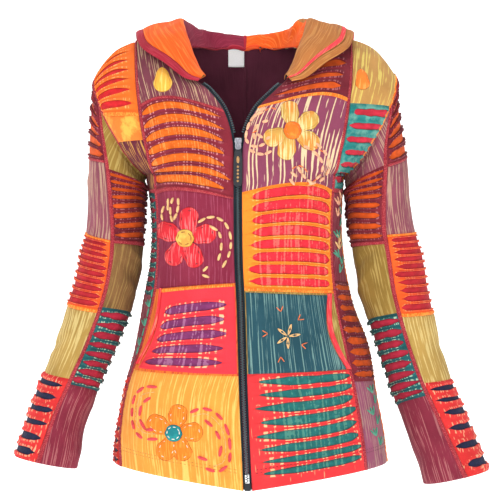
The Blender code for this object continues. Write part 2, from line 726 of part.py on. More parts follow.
def raised_shape(name, panel, outline, center, base, height, color, count=30, rings=2):
    # a closed applique: outline gives the reach at each angle
    builder = bmesh.new()
    layers = []
    for level, lift in ((0, base), (1, base + height)):
        hub_v, hub_u = panel.place(*center)
        hub = panel.point(hub_v, hub_u) + panel.normal(hub_v, hub_u) * (lift + DOME * level)
        loops = []
        for ring in range(1, rings + 1):
            share = ring / rings
            loop = []
            for k in range(count):
                angle = 2 * pi * k / count
                reach = outline(angle) * share
                v, u = panel.place(center[0] + reach * cos(angle), center[1] + reach * sin(angle))
                point = panel.point(v, u) + panel.normal(v, u) * (lift - DOME * level * share)
                loop.append(builder.verts.new(point * MM))
            loops.append(loop)
        layers.append((builder.verts.new(hub * MM), loops))
    for hub, loops in layers:
        for k in range(count):
            builder.faces.new((hub, loops[0][k], loops[0][(k + 1) % count]))
            for low, high in zip(loops, loops[1:]):
                builder.faces.new((low[k], high[k], high[(k + 1) % count], low[(k + 1) % count]))
    for k in range(count):
        low, high = layers[0][1][-1], layers[1][1][-1]
        builder.faces.new((low[k], low[(k + 1) % count], high[(k + 1) % count], high[k]))
    bmesh.ops.recalc_face_normals(builder, faces=builder.faces[:])
    mesh = bpy.data.meshes.new(name)
    builder.to_mesh(mesh)
    builder.free()
    add_object(name, mesh, color)


def petal_outline(reach, petals, turn):
    def at(angle):
        wave = abs(cos((angle - radians(turn)) * petals / 2))
        return reach * (0.42 + 0.58 * wave ** 0.75)
    return at


def drop_outline(reach, turn):
    def at(angle):
        return reach * (0.62 + 0.38 * max(0.0, cos(angle - radians(turn))) ** 3)
    return at


def make_appliques(panels):
    colors = {"flower_red": ("#E8353A", "#E8C84A"), "flower_orange": ("#F08030", "#1F8A8A"),
              "flower_tan": ("#C8A860", "#F07A28")}
    for name, flower in FLOWERS.items():
        panel = panels[flower.column]
        spot = (flower.x, flower.z)
        base = WALL + LAY_GAP + PETAL_CLEAR
        outline = petal_outline(flower.reach, flower.petals, flower.turn)
        raised_shape(name, panel, outline, spot, base, PETAL_HIGH, colors[name][0],
                     rings=3 if flower.reach > 40 else 2)
        disc = petal_outline(flower.disc, 0, 0)
        disc_base = base + PETAL_HIGH + DOME + DISC_GAP
        raised_shape(name + "_center", panel, disc, spot, disc_base, DISC_HIGH, colors[name][1],
                     count=16, rings=1)
    for name, drop in DROPS.items():
        outline = drop_outline(drop.reach, drop.turn)
        raised_shape(name, panels[drop.column], outline, (drop.x, drop.z), WALL + LAY_GAP,
                     PETAL_HIGH, "#F2A93B" if name.endswith("r") else "#F07A28",
                     count=20, rings=1)


def neck_edge(panels, side, s):
    # the neck seam from the centre back over the neck point to the zip's
    # top: the cloth's middle, and the way off the panel's edge
    if s <= HOOD_SHOULDER:
        panel, v = panels["back_center_" + side], NECK_ROW + NECK_ROWS * s / HOOD_SHOULDER
    else:
        toward = (s - HOOD_SHOULDER) / (HOOD_END - HOOD_SHOULDER)
        panel, v = panels["front_center_" + side], NECK_ROW + NECK_ROWS * (1 - toward)
    point, normal = panel.point(v, 0), panel.normal(v, 0)
    along = panel.point(min(v + 0.05, panel.top), 0) - panel.point(v - 0.05, 0)
    off = along.cross(normal).normalized()
    if off.dot(panel.point(v, 0.1) - point) > 0:
        off = -off
    return edge_chord(panel, v), off


def edge_chord(panel, v):
    # the middle of the panel's edge, which is straight between its rows
    for low, high in zip(panel.edge_places, panel.edge_places[1:]):
        if v <= high:
            ends = [panel.point(w, 0) + panel.normal(w, 0) * (WALL / 2) for w in (low, high)]
            return ends[0].lerp(ends[1], max(0.0, (v - low) / (high - low)))
    return panel.point(v, 0) + panel.normal(v, 0) * (WALL / 2)


def hood_point(panels, side, s, t):
    sign = -1 if side == "r" else 1
    edge, off = neck_edge(panels, side, s)
    gap = NECK_GAP + 0.2 * max(0.0, (s - HOOD_SHOULDER) / 4)
    tracks = [edge + off * gap]
    for field in ("roll", "fall", "low", "edge"):
        x, y, z = (spline([getattr(row, field)[k] for row in HOOD], s) for k in range(3))
        tracks.append(Vector((sign * x, y, z)))
    return Vector([spline([track[k] for track in tracks], t) for k in range(3)])


def hood_normal(panels, side, s, t):
    step = 0.05
    ds = (hood_point(panels, side, min(HOOD_END, s + step), t)
          - hood_point(panels, side, max(0, s - step), t))
    dt = (hood_point(panels, side, s, min(4, t + step))
          - hood_point(panels, side, s, max(0, t - step)))
    normal = ds.cross(dt).normalized()
    return normal if side == "l" else -normal


def band_start(panels, side, s):
    # how far along the last stretch the hem band starts
    stretch = hood_point(panels, side, s, 4) - hood_point(panels, side, s, 3)
    return 1 - min(0.7, HOOD_BAND / stretch.length)


def band_step(step, start):
    # steps 3 to 4 reach the hem band, and 4 to 5 cross it
    if step <= 3:
        return step
    if step <= 4:
        return 3 + (step - 3) * start
    return 3 + start + (step - 4) * (1 - start)


def make_hood(panels):
    spans = (("hood_", HOOD_STEPS, "#CC8E4E", HOOD_HALF),
             ("hood_hem_", BAND_STEPS, "#A8324A", BAND_HALF))
    for side in "rl":
        sign = -1 if side == "r" else 1
        for name, steps, color, half in spans:
            outer, inner = [], []
            for s in HOOD_ROWS:
                start = band_start(panels, side, s)
                if name == "hood_":
                    start -= BAND_GAP
                along = [band_step(step, start) for step in steps]
                points = [hood_point(panels, side, s, t) for t in along]
                normals = [hood_normal(panels, side, s, t) for t in along]
                sheets = [[p + n * reach for p, n in zip(points, normals)] for reach in (half, -half)]
                if s == 0:
                    for sheet in sheets:
                        for point in sheet:
                            point.x = sign * SEAM_GAP / 2
                outer.append(sheets[0])
                inner.append(sheets[1])
            closed_wall(name + side, outer, inner, list(range(len(HOOD_ROWS))), color)


def edge_frame(panel, v):
    # a place on the front edge: point, way along, way off the edge, way out
    point, normal = panel.point(v, 0), panel.normal(v, 0)
    along = (panel.point(min(v + 0.05, panel.top), 0) - panel.point(max(v - 0.05, 0), 0)).normalized()
    off = along.cross(normal).normalized()
    if off.dot(panel.point(v, 0.1) - point) > 0:
        off = -off
    return point, along, off, normal


def middle_frame(panels, v):
    right = edge_frame(panels["front_center_r"], v)
    left = edge_frame(panels["front_center_l"], v)
    point = (right[0] + left[0]) / 2
    normal = (right[3] + left[3]).normalized()
    along = (right[1] + left[1]).normalized()
    return point, along, along.cross(normal).normalized(), normal


def sweep(name, frames, corners, color):
    # a bar with the same section at each frame; corners are off and out
    builder = bmesh.new()
    loops = []
    for point, _, off, normal in frames:
        loops.append([builder.verts.new((point + off * b + normal * n) * MM) for b, n in corners])
    count = len(corners)
    for low, high in zip(loops, loops[1:]):
        for k in range(count):
            builder.faces.new((low[k], low[(k + 1) % count], high[(k + 1) % count], high[k]))
    builder.faces.new(loops[0][::-1])
    builder.faces.new(loops[-1])
    bmesh.ops.recalc_face_normals(builder, faces=builder.faces[:])
    mesh = bpy.data.meshes.new(name)
    builder.to_mesh(mesh)
    builder.free()
    add_object(name, mesh, color)


def zip_row(panels, z):
    return panels["front_center_r"].row_at(z, 0)


def spread(low, high, count):
    return [low + (high - low) * k / count for k in range(count + 1)]


def bar(low, high, back, front):
    return ((low, back), (high, back), (high, front), (low, front))


def make_zip(panels):
    tape = bar(-TAPE_UNDER, ZIP_EDGE - CHAIN_HALF - FACE_GAP, TAPE_BACK, TAPE_FRONT)
    coil = bar(ZIP_EDGE - CHAIN_HALF, ZIP_EDGE, CHAIN_BACK, CHAIN_FRONT)
    chain = bar(-CHAIN_HALF, CHAIN_HALF, CHAIN_BACK, CHAIN_FRONT)
    foot = bar(-BOX_HALF, BOX_HALF, BOX_BACK, BOX_FRONT)
    half = BODY_SIZE[2] / 2 + FACE_GAP
    slider_top, slider_low = zip_row(panels, SLIDER_Z + half), zip_row(panels, SLIDER_Z - half)
    box_top = zip_row(panels, BOX_TOP)
    for side in "rl":
        panel = panels["front_center_" + side]
        frames = [edge_frame(panel, v) for v in spread(*ZIP_ROWS, 27)]
        sweep("zip_tape_" + side, frames, tape, "#2E3C44")
        frames = [edge_frame(panel, v) for v in spread(slider_top + CHAIN_CLEAR, ZIP_ROWS[1], 14)]
        sweep("zip_coil_" + side, frames, coil, "#3A4448")
    frames = [middle_frame(panels, v) for v in spread(box_top + 0.01, slider_low, 20)]
    sweep("zip_chain", frames, chain, "#3A4448")
    frames = [middle_frame(panels, v) for v in spread(0.0, box_top, 2)]
    sweep("zip_box", frames, foot, "#2E3C44")


def box(size, center, bevel=0.0):
    builder = bmesh.new()
    bmesh.ops.create_cube(builder, size=1.0)
    bmesh.ops.scale(builder, vec=size, verts=builder.verts[:])
    bmesh.ops.translate(builder, vec=center, verts=builder.verts[:])
    if bevel:
        bmesh.ops.bevel(builder, geom=builder.edges[:], offset=bevel, segments=2, profile=0.5,
                        affect="EDGES")
    return builder


def combine(item, other, operation):
    # joins or cuts with a hidden operand
    other.hide_render = True
    other.display_type = "WIRE"
    jacket.objects.unlink(other)
    cutters.objects.link(other)
    change = item.modifiers.new(other.name, "BOOLEAN")
    change.operation = operation
    change.solver = "EXACT"
    change.object = other


def solid(name, builder, color, metallic=0.0, roughness=0.5):
    bmesh.ops.scale(builder, vec=(MM, MM, MM), verts=builder.verts[:])
    mesh = bpy.data.meshes.new(name)
    builder.to_mesh(mesh)
    builder.free()
    return add_object(name, mesh, color, metallic, roughness)


def make_slider(panels):
    # modelled upright about the pull's hinge: x across, -y out, z along
    metal = "#9A9CA0"
    place = middle_frame(panels, zip_row(panels, SLIDER_Z))
    lower = middle_frame(panels, zip_row(panels, SLIDER_Z - PULL_SIZE[2]))
    along = (place[0] - lower[0]).normalized()
    out = Vector((1, 0, 0)).cross(along).normalized()
    out = out if out.y < 0 else -out
    hinge = bpy.data.objects.new("pull_hinge", None)
    jacket.objects.link(hinge)
    hinge.location = (place[0] + out * HINGE_OUT) * MM
    hinge.rotation_euler = (-asin(along.y), 0, 0)
    back = HINGE_OUT - 0.1
    body = solid("zip_slider", box(BODY_SIZE, (0, back - BODY_SIZE[1] / 2, 0), BODY_BEVEL), metal, 1.0)
    body.parent = hinge
    for name, size, spot in (("Upper post", POST_SIZE, (0, back - POST_OUT, POST_APART / 2)),
                             ("Lower post", POST_SIZE, (0, back - POST_OUT, -POST_APART / 2)),
                             ("Bridge", BRIDGE_SIZE, (0, back - BRIDGE_OUT, 0))):
        item = solid(name, box(size, spot), metal, 1.0)
        item.parent = hinge
        combine(body, item, "UNION")
    top = LINK_BAR / 2
    link = solid("zip_link", box(LINK_SIZE, (0, 0, top - LINK_SIZE[2] / 2)), metal, 1.0)
    link.parent = hinge
    eye = solid("Link eye", box(LINK_EYE, (0, 0, -top - LINK_EYE[2] / 2)), metal, 1.0)
    eye.parent = hinge
    combine(link, eye, "DIFFERENCE")
    strip_top = top - LINK_SIZE[2] - FACE_GAP
    strip = solid("zip_pull", box(PULL_SIZE, (0, 0, strip_top - PULL_SIZE[2] / 2), PULL_BEVEL),
                  "#2B2B3F", 0.0, 0.6)
    strip.parent = hinge


def make_label(panels):
    panel = panels["back_center_r"]
    width, height = LABEL_SIZE
    outer, inner = [], []
    for z in spread(LABEL_TOP, LABEL_TOP - height, LABEL_SPOTS):
        places = [panel.place(x, z) for x in spread(-LABEL_SIDE, -LABEL_SIDE - width, LABEL_SPOTS)]
        frames = [(panel.point(v, u), panel.normal(v, u)) for v, u in places]
        inner.append([p + n * LABEL_FRONT for p, n in frames])
        outer.append([p + n * LABEL_BACK for p, n in frames])
    closed_wall("neck_label", outer, inner, list(range(len(outer))), "#E8E6E0")


clear_scene()
jacket = bpy.data.collections.new("Patchwork jacket")
cutters = bpy.data.collections.new("Cutters")
bpy.context.scene.collection.children.link(jacket)
bpy.context.scene.collection.children.link(cutters)
cutters.hide_render = True

panels = {name: make_panel(name) for name in COLUMNS}
make_pockets(panels)
make_appliques(panels)
make_hood(panels)
make_zip(panels)
make_slider(panels)
make_label(panels)
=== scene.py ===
import math

import bpy
import bmesh
import numpy as np
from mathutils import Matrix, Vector


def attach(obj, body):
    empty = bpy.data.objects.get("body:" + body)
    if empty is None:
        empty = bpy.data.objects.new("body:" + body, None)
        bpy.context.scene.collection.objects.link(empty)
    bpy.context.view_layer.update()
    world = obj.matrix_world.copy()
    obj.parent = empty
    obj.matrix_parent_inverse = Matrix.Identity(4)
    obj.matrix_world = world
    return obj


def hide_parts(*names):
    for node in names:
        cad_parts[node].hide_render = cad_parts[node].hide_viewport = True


# A hooded zip jacket of cut and stitched jersey patches, filled out as worn.
# Sizes are millimetres until a mesh is written. Front is -Y, +X the wearer's left.

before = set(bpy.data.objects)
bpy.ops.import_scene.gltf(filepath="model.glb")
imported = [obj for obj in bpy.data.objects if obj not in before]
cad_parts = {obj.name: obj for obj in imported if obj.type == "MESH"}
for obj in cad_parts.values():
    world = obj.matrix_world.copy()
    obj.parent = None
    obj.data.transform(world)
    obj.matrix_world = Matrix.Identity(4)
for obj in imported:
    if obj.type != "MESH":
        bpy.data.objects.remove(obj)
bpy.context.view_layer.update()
print("frame loaded")

chance = np.random.default_rng(11)      # unevenness of the hand stitching
mm = 0.001
clothThick = 1.3      # one jersey shell
flatTop = 1.6         # how far plain cloth stands off the inner face
zipHalf = 6.2         # from the zip's middle to each front edge
roundPower = 2.3      # how square the body's round is
topRow, cuffRow = 13.0, 11.0      # last row of the body and of a sleeve
armholeRow, neckRow = 7, 11       # where the armhole and the neck begin
rowLong = 48          # about how long a row is
seamGap = 0.002       # between two columns, as a share of the half body
sideSign = {"r": -1, "l": 1}      # the wearer's right and left

# body sections from the hem up: front edge x on each side, its y and z, the
# back's x y z, side seam x on each side and its z, angle round the armhole,
# lift of the shoulder, and roundness
bodyFields = ["rightX", "leftX", "frontY", "frontZ", "backX", "backY", "backZ",
              "sideRight", "sideLeft", "sideZ", "arm", "lift", "round"]
bodyRows = [
    (4, 4, -128, -637, 0, 126, -640, -191, 206, -607, 0, 0, 1.0),
    (1, 1, -124, -575, 0, 119, -576, -187, 201, -566, 0, 0, 1.0),
    (-2, -2, -116, -505, 0, 107, -505, -175, 189, -503, 0, 0, 1.0),
    (-4, -4, -109, -440, 0, 96, -440, -158, 178, -438, 0, 0, 1.0),
    (-6, -6, -104, -375, 0, 89, -375, -147, 155, -374, 0, 0, 1.0),
    (-9, -9, -106, -315, 0, 91, -312, -136, 143, -314, 0, 0, 1.0),
    (-10, -10, -114, -255, 0, 99, -250, -134, 138, -250, 0, 0, 1.0),
    (-10, -10, -121, -198, 0, 106, -195, -142.2, 142.2, -185.6, 0, 0, 1.0),
    (-11, -8, -118, -145, 0, 107, -145, -147, 145, -124, 45, 0, 0.95),
    (-23, 8, -107, -101, 0, 103, -100, -143, 143, -186, 82, 2, 0.85),
    (-45, 36, -89, -70, 0, 91, -52, -143, 143, -186, 115, 8, 0.70),
    (-62, 52, -71, -54, 0, 60, 0, -143, 143, -186, 140, 16, 0.50),
    (-76, 74, -37, -24, 46, 48, 2, -143, 143, -186, 160, 26, 0.25),
    (-80, 80, 0, 0, 80, 0, 0, -143, 143, -186, 180, 33, 0.0),
]

# sleeve rings from the armhole down: outer and inner edge, depth place, half
# depth, bow of the middle, and the angle of the column seam
ringFields = ["outX", "outZ", "inX", "inZ", "y", "half", "bow", "seam"]
sleeveRings = {
    "r": [
        (-214, -44, -143, -186, 4, 58, 19, 62), (-222, -85, -147, -191, 4, 58, 10, 66),
        (-226, -125, -147, -199, 4, 56, 4, 69), (-228, -165, -147, -211, 4, 53, 1, 72),
        (-229, -210, -147, -231, 3, 49, 0, 76), (-231, -262, -148, -268, 2, 46, 0, 83),
        (-240, -306, -152, -310, 0, 44, 0, 90), (-254, -365, -163, -364, -2, 43, 0, 92),
        (-274, -428, -184, -427, -5, 42, 0, 90), (-296, -483, -208, -485, -8, 41, 0, 87),
        (-316, -538, -231, -541, -12, 40, 0, 83), (-335, -597, -247, -615, -16, 40, 0, 76),
    ],
    "l": [
        (215, -40, 143, -186, 4, 58, -19, 62), (221, -80, 148, -195, 4, 58, -10, 66),
        (228, -118, 148, -204, 4, 56, -4, 70), (235, -160, 149, -215, 4, 53, -1, 73),
        (239, -206, 150, -235, 3, 49, 0, 78), (246, -258, 152, -272, 2, 47, 0, 84),
        (258, -306, 161, -310, 0, 46, 0, 89), (269, -364, 171, -364, -2, 45, 0, 91),
        (283, -428, 190, -427, -5, 44, 0, 90), (300, -485, 209, -487, -8, 43, 0, 87),
        (322, -540, 232, -543, -12, 42, 0, 83), (355, -617, 261, -638, -16, 42, 0, 74),
    ],
}

# x of the princess seams on each body section, and of the back's seams
princess = {
    ("r", -1): [-180, -181, -172, -151, -134, -126, -126, -131, -140, -149, -155, -158, -160, -161],
    ("l", -1): [175, 170, 160, 146, 132, 126, 125, 129, 137, 146, 152, 155, 156, 156],
    ("r", 1): [-105, -103, -97, -90, -84, -82, -84, -90, -97, -106, -116, -124, -131, -138],
    ("l", 1): [105, 103, 97, 90, 84, 82, 84, 90, 97, 106, 116, 124, 131, 138],
}


def curveAt(values, place):
    # smooth curve through evenly spaced values
    values = np.asarray(values, float)
    place = np.asarray(place, float)
    last = len(values) - 1
    low = np.clip(place.astype(int), 0, last - 1)
    start, end = values[low], values[low + 1]
    before, after = values[np.maximum(low - 1, 0)], values[np.minimum(low + 2, last)]
    part, atStart, atEnd = place - low, low == 0, low == last - 1
    if values.ndim > 1:
        part, atStart, atEnd = part[..., None], atStart[..., None], atEnd[..., None]
    before = np.where(atStart, 2 * start - end, before)
    after = np.where(atEnd, 2 * end - start, after)
    return 0.5 * (2 * start + (end - before) * part
                  + (2 * before - 5 * start + 4 * end - after) * part ** 2
                  + (3 * start - before - 3 * end + after) * part ** 3)


def rowAt(rows, fields, place):
    return dict(zip(fields, np.moveaxis(curveAt(rows, place), -1, 0)))


def smooth(low, high, value):
    part = np.clip((value - low) / (high - low), 0, 1)
    return part * part * (3 - 2 * part)


def unit(vectors):
    return vectors / np.maximum(np.linalg.norm(vectors, axis=-1, keepdims=True), 1e-9)


def softNoise(x, y, seed):
    # smooth random hills about one unit wide, from -1 to 1
    hills = np.random.default_rng(seed).uniform(-1, 1, (64, 64))
    low, left = np.floor(y).astype(int), np.floor(x).astype(int)
    up, over = y - low, x - left
    up, over = up * up * (3 - 2 * up), over * over * (3 - 2 * over)
    corner = [hills[(low + j) % 64, (left + i) % 64] for j in (0, 1) for i in (0, 1)]
    return ((corner[0] * (1 - over) + corner[1] * over) * (1 - up)
            + (corner[2] * (1 - over) + corner[3] * over) * up)


def sleevePoint(side, v, angle):
    ring = rowAt(sleeveRings[side], ringFields, v)
    turn = np.radians(angle)
    across, deep = np.cos(turn) / 2, np.sin(turn)
    return np.stack(((ring["outX"] + ring["inX"]) / 2 + (ring["outX"] - ring["inX"]) * across
                     - ring["bow"] * np.abs(deep),
                     ring["y"] - ring["half"] * deep,
                     (ring["outZ"] + ring["inZ"]) / 2 + (ring["outZ"] - ring["inZ"]) * across), -1)


def bodyPoint(side, face, v, a):
    # a runs from the centre line to the side seam or armhole; face is -1 in front
    v, a = np.broadcast_arrays(v, a)
    row = rowAt(bodyRows, bodyFields, v)
    if face < 0:
        inner = np.stack((row["rightX" if side == "r" else "leftX"] + sideSign[side] * zipHalf,
                          row["frontY"], row["frontZ"]), -1)
    else:
        inner = np.stack((sideSign[side] * np.maximum(0, row["backX"]), row["backY"], row["backZ"]), -1)
    lowOuter = np.stack((row["sideRight" if side == "r" else "sideLeft"],
                         np.full(v.shape, 4.0), row["sideZ"]), -1)
    tuck = np.array((-0.8 * sideSign[side], 0, 0.4))
    armhole = sleevePoint(side, np.zeros(v.shape), 180 + face * row["arm"]) + tuck
    outer = np.where((v > armholeRow)[..., None], armhole, lowOuter)
    turn = np.clip(a, 0, 1) * np.pi / 2
    across = np.sin(turn) ** (2 / roundPower)
    level = np.abs(np.cos(turn)) ** (2 / roundPower)
    toward = (1 - row["round"]) * (1 - across) + row["round"] * level
    swell = 1 - np.abs(2 * across ** 1.4 - 1) ** 2.6
    return np.stack((inner[..., 0] + (outer[..., 0] - inner[..., 0]) * across,
                     outer[..., 1] + (inner[..., 1] - outer[..., 1]) * toward + face * 0.3,
                     inner[..., 2] + (outer[..., 2] - inner[..., 2]) * across
                     + row["lift"] * swell), -1)


def seamShare(side, face, v):
    start = bodyPoint(side, face, v, np.zeros(np.shape(v)))[..., 0]
    end = bodyPoint(side, face, v, np.ones(np.shape(v)))[..., 0]
    share = np.clip((curveAt(princess[side, face], v) - start) / (end - start), 0, 1)
    return np.arcsin(share ** (roundPower / 2)) * 2 / np.pi


# soft folds of the cloth: place along the rows and across, reach each way,
# slope and depth in mm, less than 0 inward
folds = {
    "sleeve_inner_r": [(6.35, 0.24, 0.26, 0.3, 2.0, -5.5), (5.9, 0.3, 0.22, 0.3, 2.2, 4.0),
                       (6.8, 0.3, 0.2, 0.3, 1.6, 3.5), (0.9, 0.25, 0.3, 0.25, 1.6, -4.0),
                       (1.7, 0.30, 0.7, 0.28, 1.0, -3.0), (5.4, 0.30, 0.8, 0.30, -0.8, -3.0),
                       (6.6, 0.32, 0.6, 0.30, 0.8, 2.4), (10.2, 0.30, 0.6, 0.30, 0.6, -2.4),
                       (5.8, 0.72, 0.8, 0.28, 0.8, -3.0), (2.5, 0.35, 0.35, 0.34, 1.6, 2.6),
                       (4.2, 0.45, 0.4, 0.36, 1.2, -2.2), (7.4, 0.4, 0.35, 0.4, -0.7, 1.8),
                       (8.7, 0.35, 0.35, 0.3, 0.9, -2.0), (9.5, 0.3, 0.3, 0.34, 0.8, 2.2),
                       (10.7, 0.4, 0.3, 0.36, -0.5, 2.0)],
    "sleeve_inner_l": [(5.95, 0.26, 0.26, 0.3, 1.8, -5.0), (6.5, 0.28, 0.2, 0.3, 2.0, 3.5),
                       (0.9, 0.3, 0.3, 0.3, 1.6, -4.0), (1.8, 0.30, 0.7, 0.28, 1.0, -3.0),
                       (2.9, 0.32, 0.6, 0.28, 0.8, 2.4), (5.6, 0.30, 0.7, 0.30, -0.8, -3.0),
                       (10.0, 0.30, 0.6, 0.30, 0.6, 2.4), (6.2, 0.72, 0.8, 0.28, 0.8, -3.0),
                       (1.1, 0.4, 0.35, 0.36, 1.4, 2.4), (2.3, 0.5, 0.3, 0.34, 1.3, -2.2),
                       (4.6, 0.4, 0.4, 0.36, 1.0, -2.0), (7.0, 0.38, 0.4, 0.36, -0.8, 2.2),
                       (8.8, 0.42, 0.35, 0.3, 0.8, -2.2), (9.3, 0.34, 0.3, 0.32, 0.8, 1.8),
                       (10.6, 0.36, 0.3, 0.4, 0.9, -2.4)],
    "sleeve_outer_r": [(7.2, 0.3, 0.3, 0.3, -1.2, 3.0), (8.1, 0.4, 0.25, 0.3, 1.0, -3.0),
                       (2.0, 0.25, 0.6, 0.2, 0.9, -1.8), (4.9, 0.24, 0.5, 0.26, -1.1, -2.4),
                       (5.9, 0.2, 0.5, 0.24, 0.8, 2.0), (6.5, 0.7, 0.6, 0.26, 1.0, -2.4),
                       (9.4, 0.3, 0.5, 0.3, 0.7, -1.6)],
    "sleeve_outer_l": [(7.3, 0.7, 0.3, 0.3, 1.2, 3.0), (8.0, 0.65, 0.25, 0.3, -1.0, -3.0),
                       (1.6, 0.75, 0.6, 0.2, -0.9, -1.8), (5.1, 0.76, 0.5, 0.26, 1.1, -2.4),
                       (6.1, 0.8, 0.5, 0.24, -0.8, 2.0), (6.6, 0.3, 0.6, 0.26, 1.0, -2.4),
                       (8.9, 0.7, 0.5, 0.3, -0.7, -1.6)],
    "front_center_r": [(1.0, 0.62, 1.2, 0.25, 0.4, 3.0), (4.3, 0.55, 0.5, 0.5, 0.35, -1.6),
                       (5.0, 0.3, 0.4, 0.4, -0.4, 1.4), (8.0, 0.85, 0.5, 0.2, 1.5, -1.8),
                       (0.6, 0.3, 0.9, 0.16, 0.3, -2.2)],
    "front_center_l": [(1.1, 0.66, 1.2, 0.25, 0.4, -3.0), (4.2, 0.5, 0.5, 0.5, -0.3, -1.5),
                       (5.3, 0.4, 0.4, 0.4, 0.4, 1.3), (8.2, 0.85, 0.5, 0.2, 1.5, -1.8),
                       (0.5, 0.35, 0.8, 0.15, -0.3, 2.2)],
    "front_side_r": [(4.6, 0.5, 0.4, 0.6, 0.3, -2.0), (6.6, 0.6, 0.35, 0.6, 0.5, -2.0)],
    "front_side_l": [(4.4, 0.5, 0.4, 0.6, -0.3, -2.0), (6.7, 0.6, 0.35, 0.6, 0.5, -2.0)],
    "back_center_r": [(1.2, 0.70, 1.6, 0.30, 0.0, 4.0), (4.4, 0.5, 0.5, 0.6, 0.3, -2.2),
                      (5.3, 0.4, 0.4, 0.5, 0.2, 1.8), (8.4, 0.8, 0.7, 0.25, 1.0, -2.0)],
    "back_center_l": [(1.2, 0.70, 1.6, 0.30, 0.0, 4.0), (4.6, 0.5, 0.5, 0.6, -0.3, -2.0),
                      (5.5, 0.45, 0.35, 0.5, -0.2, 1.6), (8.6, 0.8, 0.7, 0.25, 1.0, -2.2)],
    "back_side_r": [(4.3, 0.5, 0.5, 0.6, 0.3, -2.0)],
    "back_side_l": [(4.8, 0.5, 0.5, 0.6, -0.3, -2.0)],
}


def foldBumps(bumps, v, u):
    depth = np.zeros(np.broadcast(v, u).shape)
    for row, place, rowReach, placeReach, slope, deep in bumps:
        across = np.clip((u - place) / placeReach, -1, 1)
        along = np.clip((v - row - slope * (u - place)) / rowReach, -1, 1)
        depth += deep * (np.cos(across * np.pi / 2) * np.cos(along * np.pi / 2)) ** 2
    return depth


def foldDepth(name, v, u):
    return foldBumps(folds[name], v, u) * np.sin(np.pi * np.clip(u, 0, 1))


def panelTop(name):
    return cuffRow if name.startswith("sleeve") else topRow


def plainPoint(name, v, u):
    # the cloth's inner face: v along the rows, u across from 0 to 1
    v, u = np.broadcast_arrays(np.asarray(v, float), np.asarray(u, float))
    side, face = name[-1], 1 if name.startswith("back") else -1
    if name.startswith("sleeve"):
        seam = rowAt(sleeveRings[side], ringFields, v)["seam"]
        if "inner" in name:
            return sleevePoint(side, v, seam + 0.1 + (359.8 - 2 * seam) * u)
        return sleevePoint(side, v, seam - 0.1 - (2 * seam - 0.2) * u)
    split = seamShare(side, face, v)
    if "side" in name:
        return bodyPoint(side, face, v, split + seamGap + (1 - seamGap - split) * u)
    start = seamGap if face > 0 else 0.0
    return bodyPoint(side, face, v, start + (split - seamGap - start) * u)


def panelHeart(name, v):
    if name.startswith("sleeve"):
        return (sleevePoint(name[-1], v, 0 * v) + sleevePoint(name[-1], v, 0 * v + 180)) / 2
    return np.stack((0 * v, 0 * v, curveAt([row[3] for row in bodyRows], v)), -1)


def panelNormal(name, v, u):
    v, u = np.broadcast_arrays(np.asarray(v, float), np.asarray(u, float))
    top = panelTop(name)
    along = plainPoint(name, np.minimum(v + 0.04, top), u) \
        - plainPoint(name, np.maximum(v - 0.04, 0), u)
    across = plainPoint(name, v, np.minimum(u + 0.01, 1)) - plainPoint(name, v, np.maximum(u - 0.01, 0))
    normal = unit(np.cross(along, across))
    away = plainPoint(name, top / 2, 0.5) - panelHeart(name, np.float64(top / 2))
    middle = np.cross(plainPoint(name, top / 2 + 0.04, 0.5) - plainPoint(name, top / 2, 0.5),
                      plainPoint(name, top / 2, 0.51) - plainPoint(name, top / 2, 0.5))
    return normal if np.dot(middle, away) > 0 else -normal


def panelPoint(name, v, u, lift=0.0):
    # a place on the folded cloth, a height off its inner face
    lift = np.asarray(lift, float) + foldDepth(name, v, u)
    return plainPoint(name, v, u) + panelNormal(name, v, u) * lift[..., None]


def rowAtHeight(name, z, u):
    low = np.zeros(np.broadcast(z, u).shape)
    high = low + panelTop(name)
    rising = not name.startswith("sleeve")
    for step in range(16):
        middle = (low + high) / 2
        below = (plainPoint(name, middle, u)[..., 2] < z) == rising
        low, high = np.where(below, middle, low), np.where(below, high, middle)
    return (low + high) / 2


def placeAt(name, x, z):
    # rows and columns of the panel's points with this x and z
    x, z = np.broadcast_arrays(np.asarray(x, float), np.asarray(z, float))
    u = np.full(x.shape, 0.5)
    v = rowAtHeight(name, z, u)
    for step in range(8):
        here = plainPoint(name, v, u)
        byV = (plainPoint(name, v + 0.02, u) - here) / 0.02
        byU = (plainPoint(name, v, u + 0.004) - here) / 0.004
        offX, offZ = x - here[..., 0], z - here[..., 2]
        size = byV[..., 0] * byU[..., 2] - byV[..., 2] * byU[..., 0]
        v = v + np.clip((offX * byU[..., 2] - offZ * byU[..., 0]) / size, -0.6, 0.6)
        u = u + np.clip((offZ * byV[..., 0] - offX * byV[..., 2]) / size, -0.3, 0.3)
        v, u = np.clip(v, 0, panelTop(name)), np.clip(u, 0, 0.995)
    return v, u


def paint(code):
    # sRGB hex to a linear colour
    parts = [int(code[i:i + 2], 16) / 255 for i in (1, 3, 5)]
    return [c / 12.92 if c <= 0.04045 else ((c + 0.055) / 1.055) ** 2.4 for c in parts] + [1.0]


def addNode(tree, kind, links=(), **settings):
    # a node with its settings and its inputs, each a value or another socket
    node = tree.nodes.new(kind)
    for key, value in settings.items():
        setattr(node, key, value)
    for key, value in dict(links).items():
        if isinstance(value, bpy.types.NodeSocket):
            tree.links.new(value, node.inputs[key])
        else:
            node.inputs[key].default_value = value
    return node


def startMaterial(name, color, roughness, **settings):
    material = bpy.data.materials.new(name)
    material.use_nodes = True
    material.diffuse_color = paint(color)
    shader = material.node_tree.nodes["Principled BSDF"]
    shader.inputs["Base Color"].default_value = paint(color)
    shader.inputs["Roughness"].default_value = roughness
    for key, value in settings.items():
        shader.inputs[key].default_value = value
    return material, material.node_tree, shader


def dimmed(color, share):
    # a paint made darker, or a little lighter past 1
    return [min(1, c * share) for c in paint(color)[:3]] + [1.0]


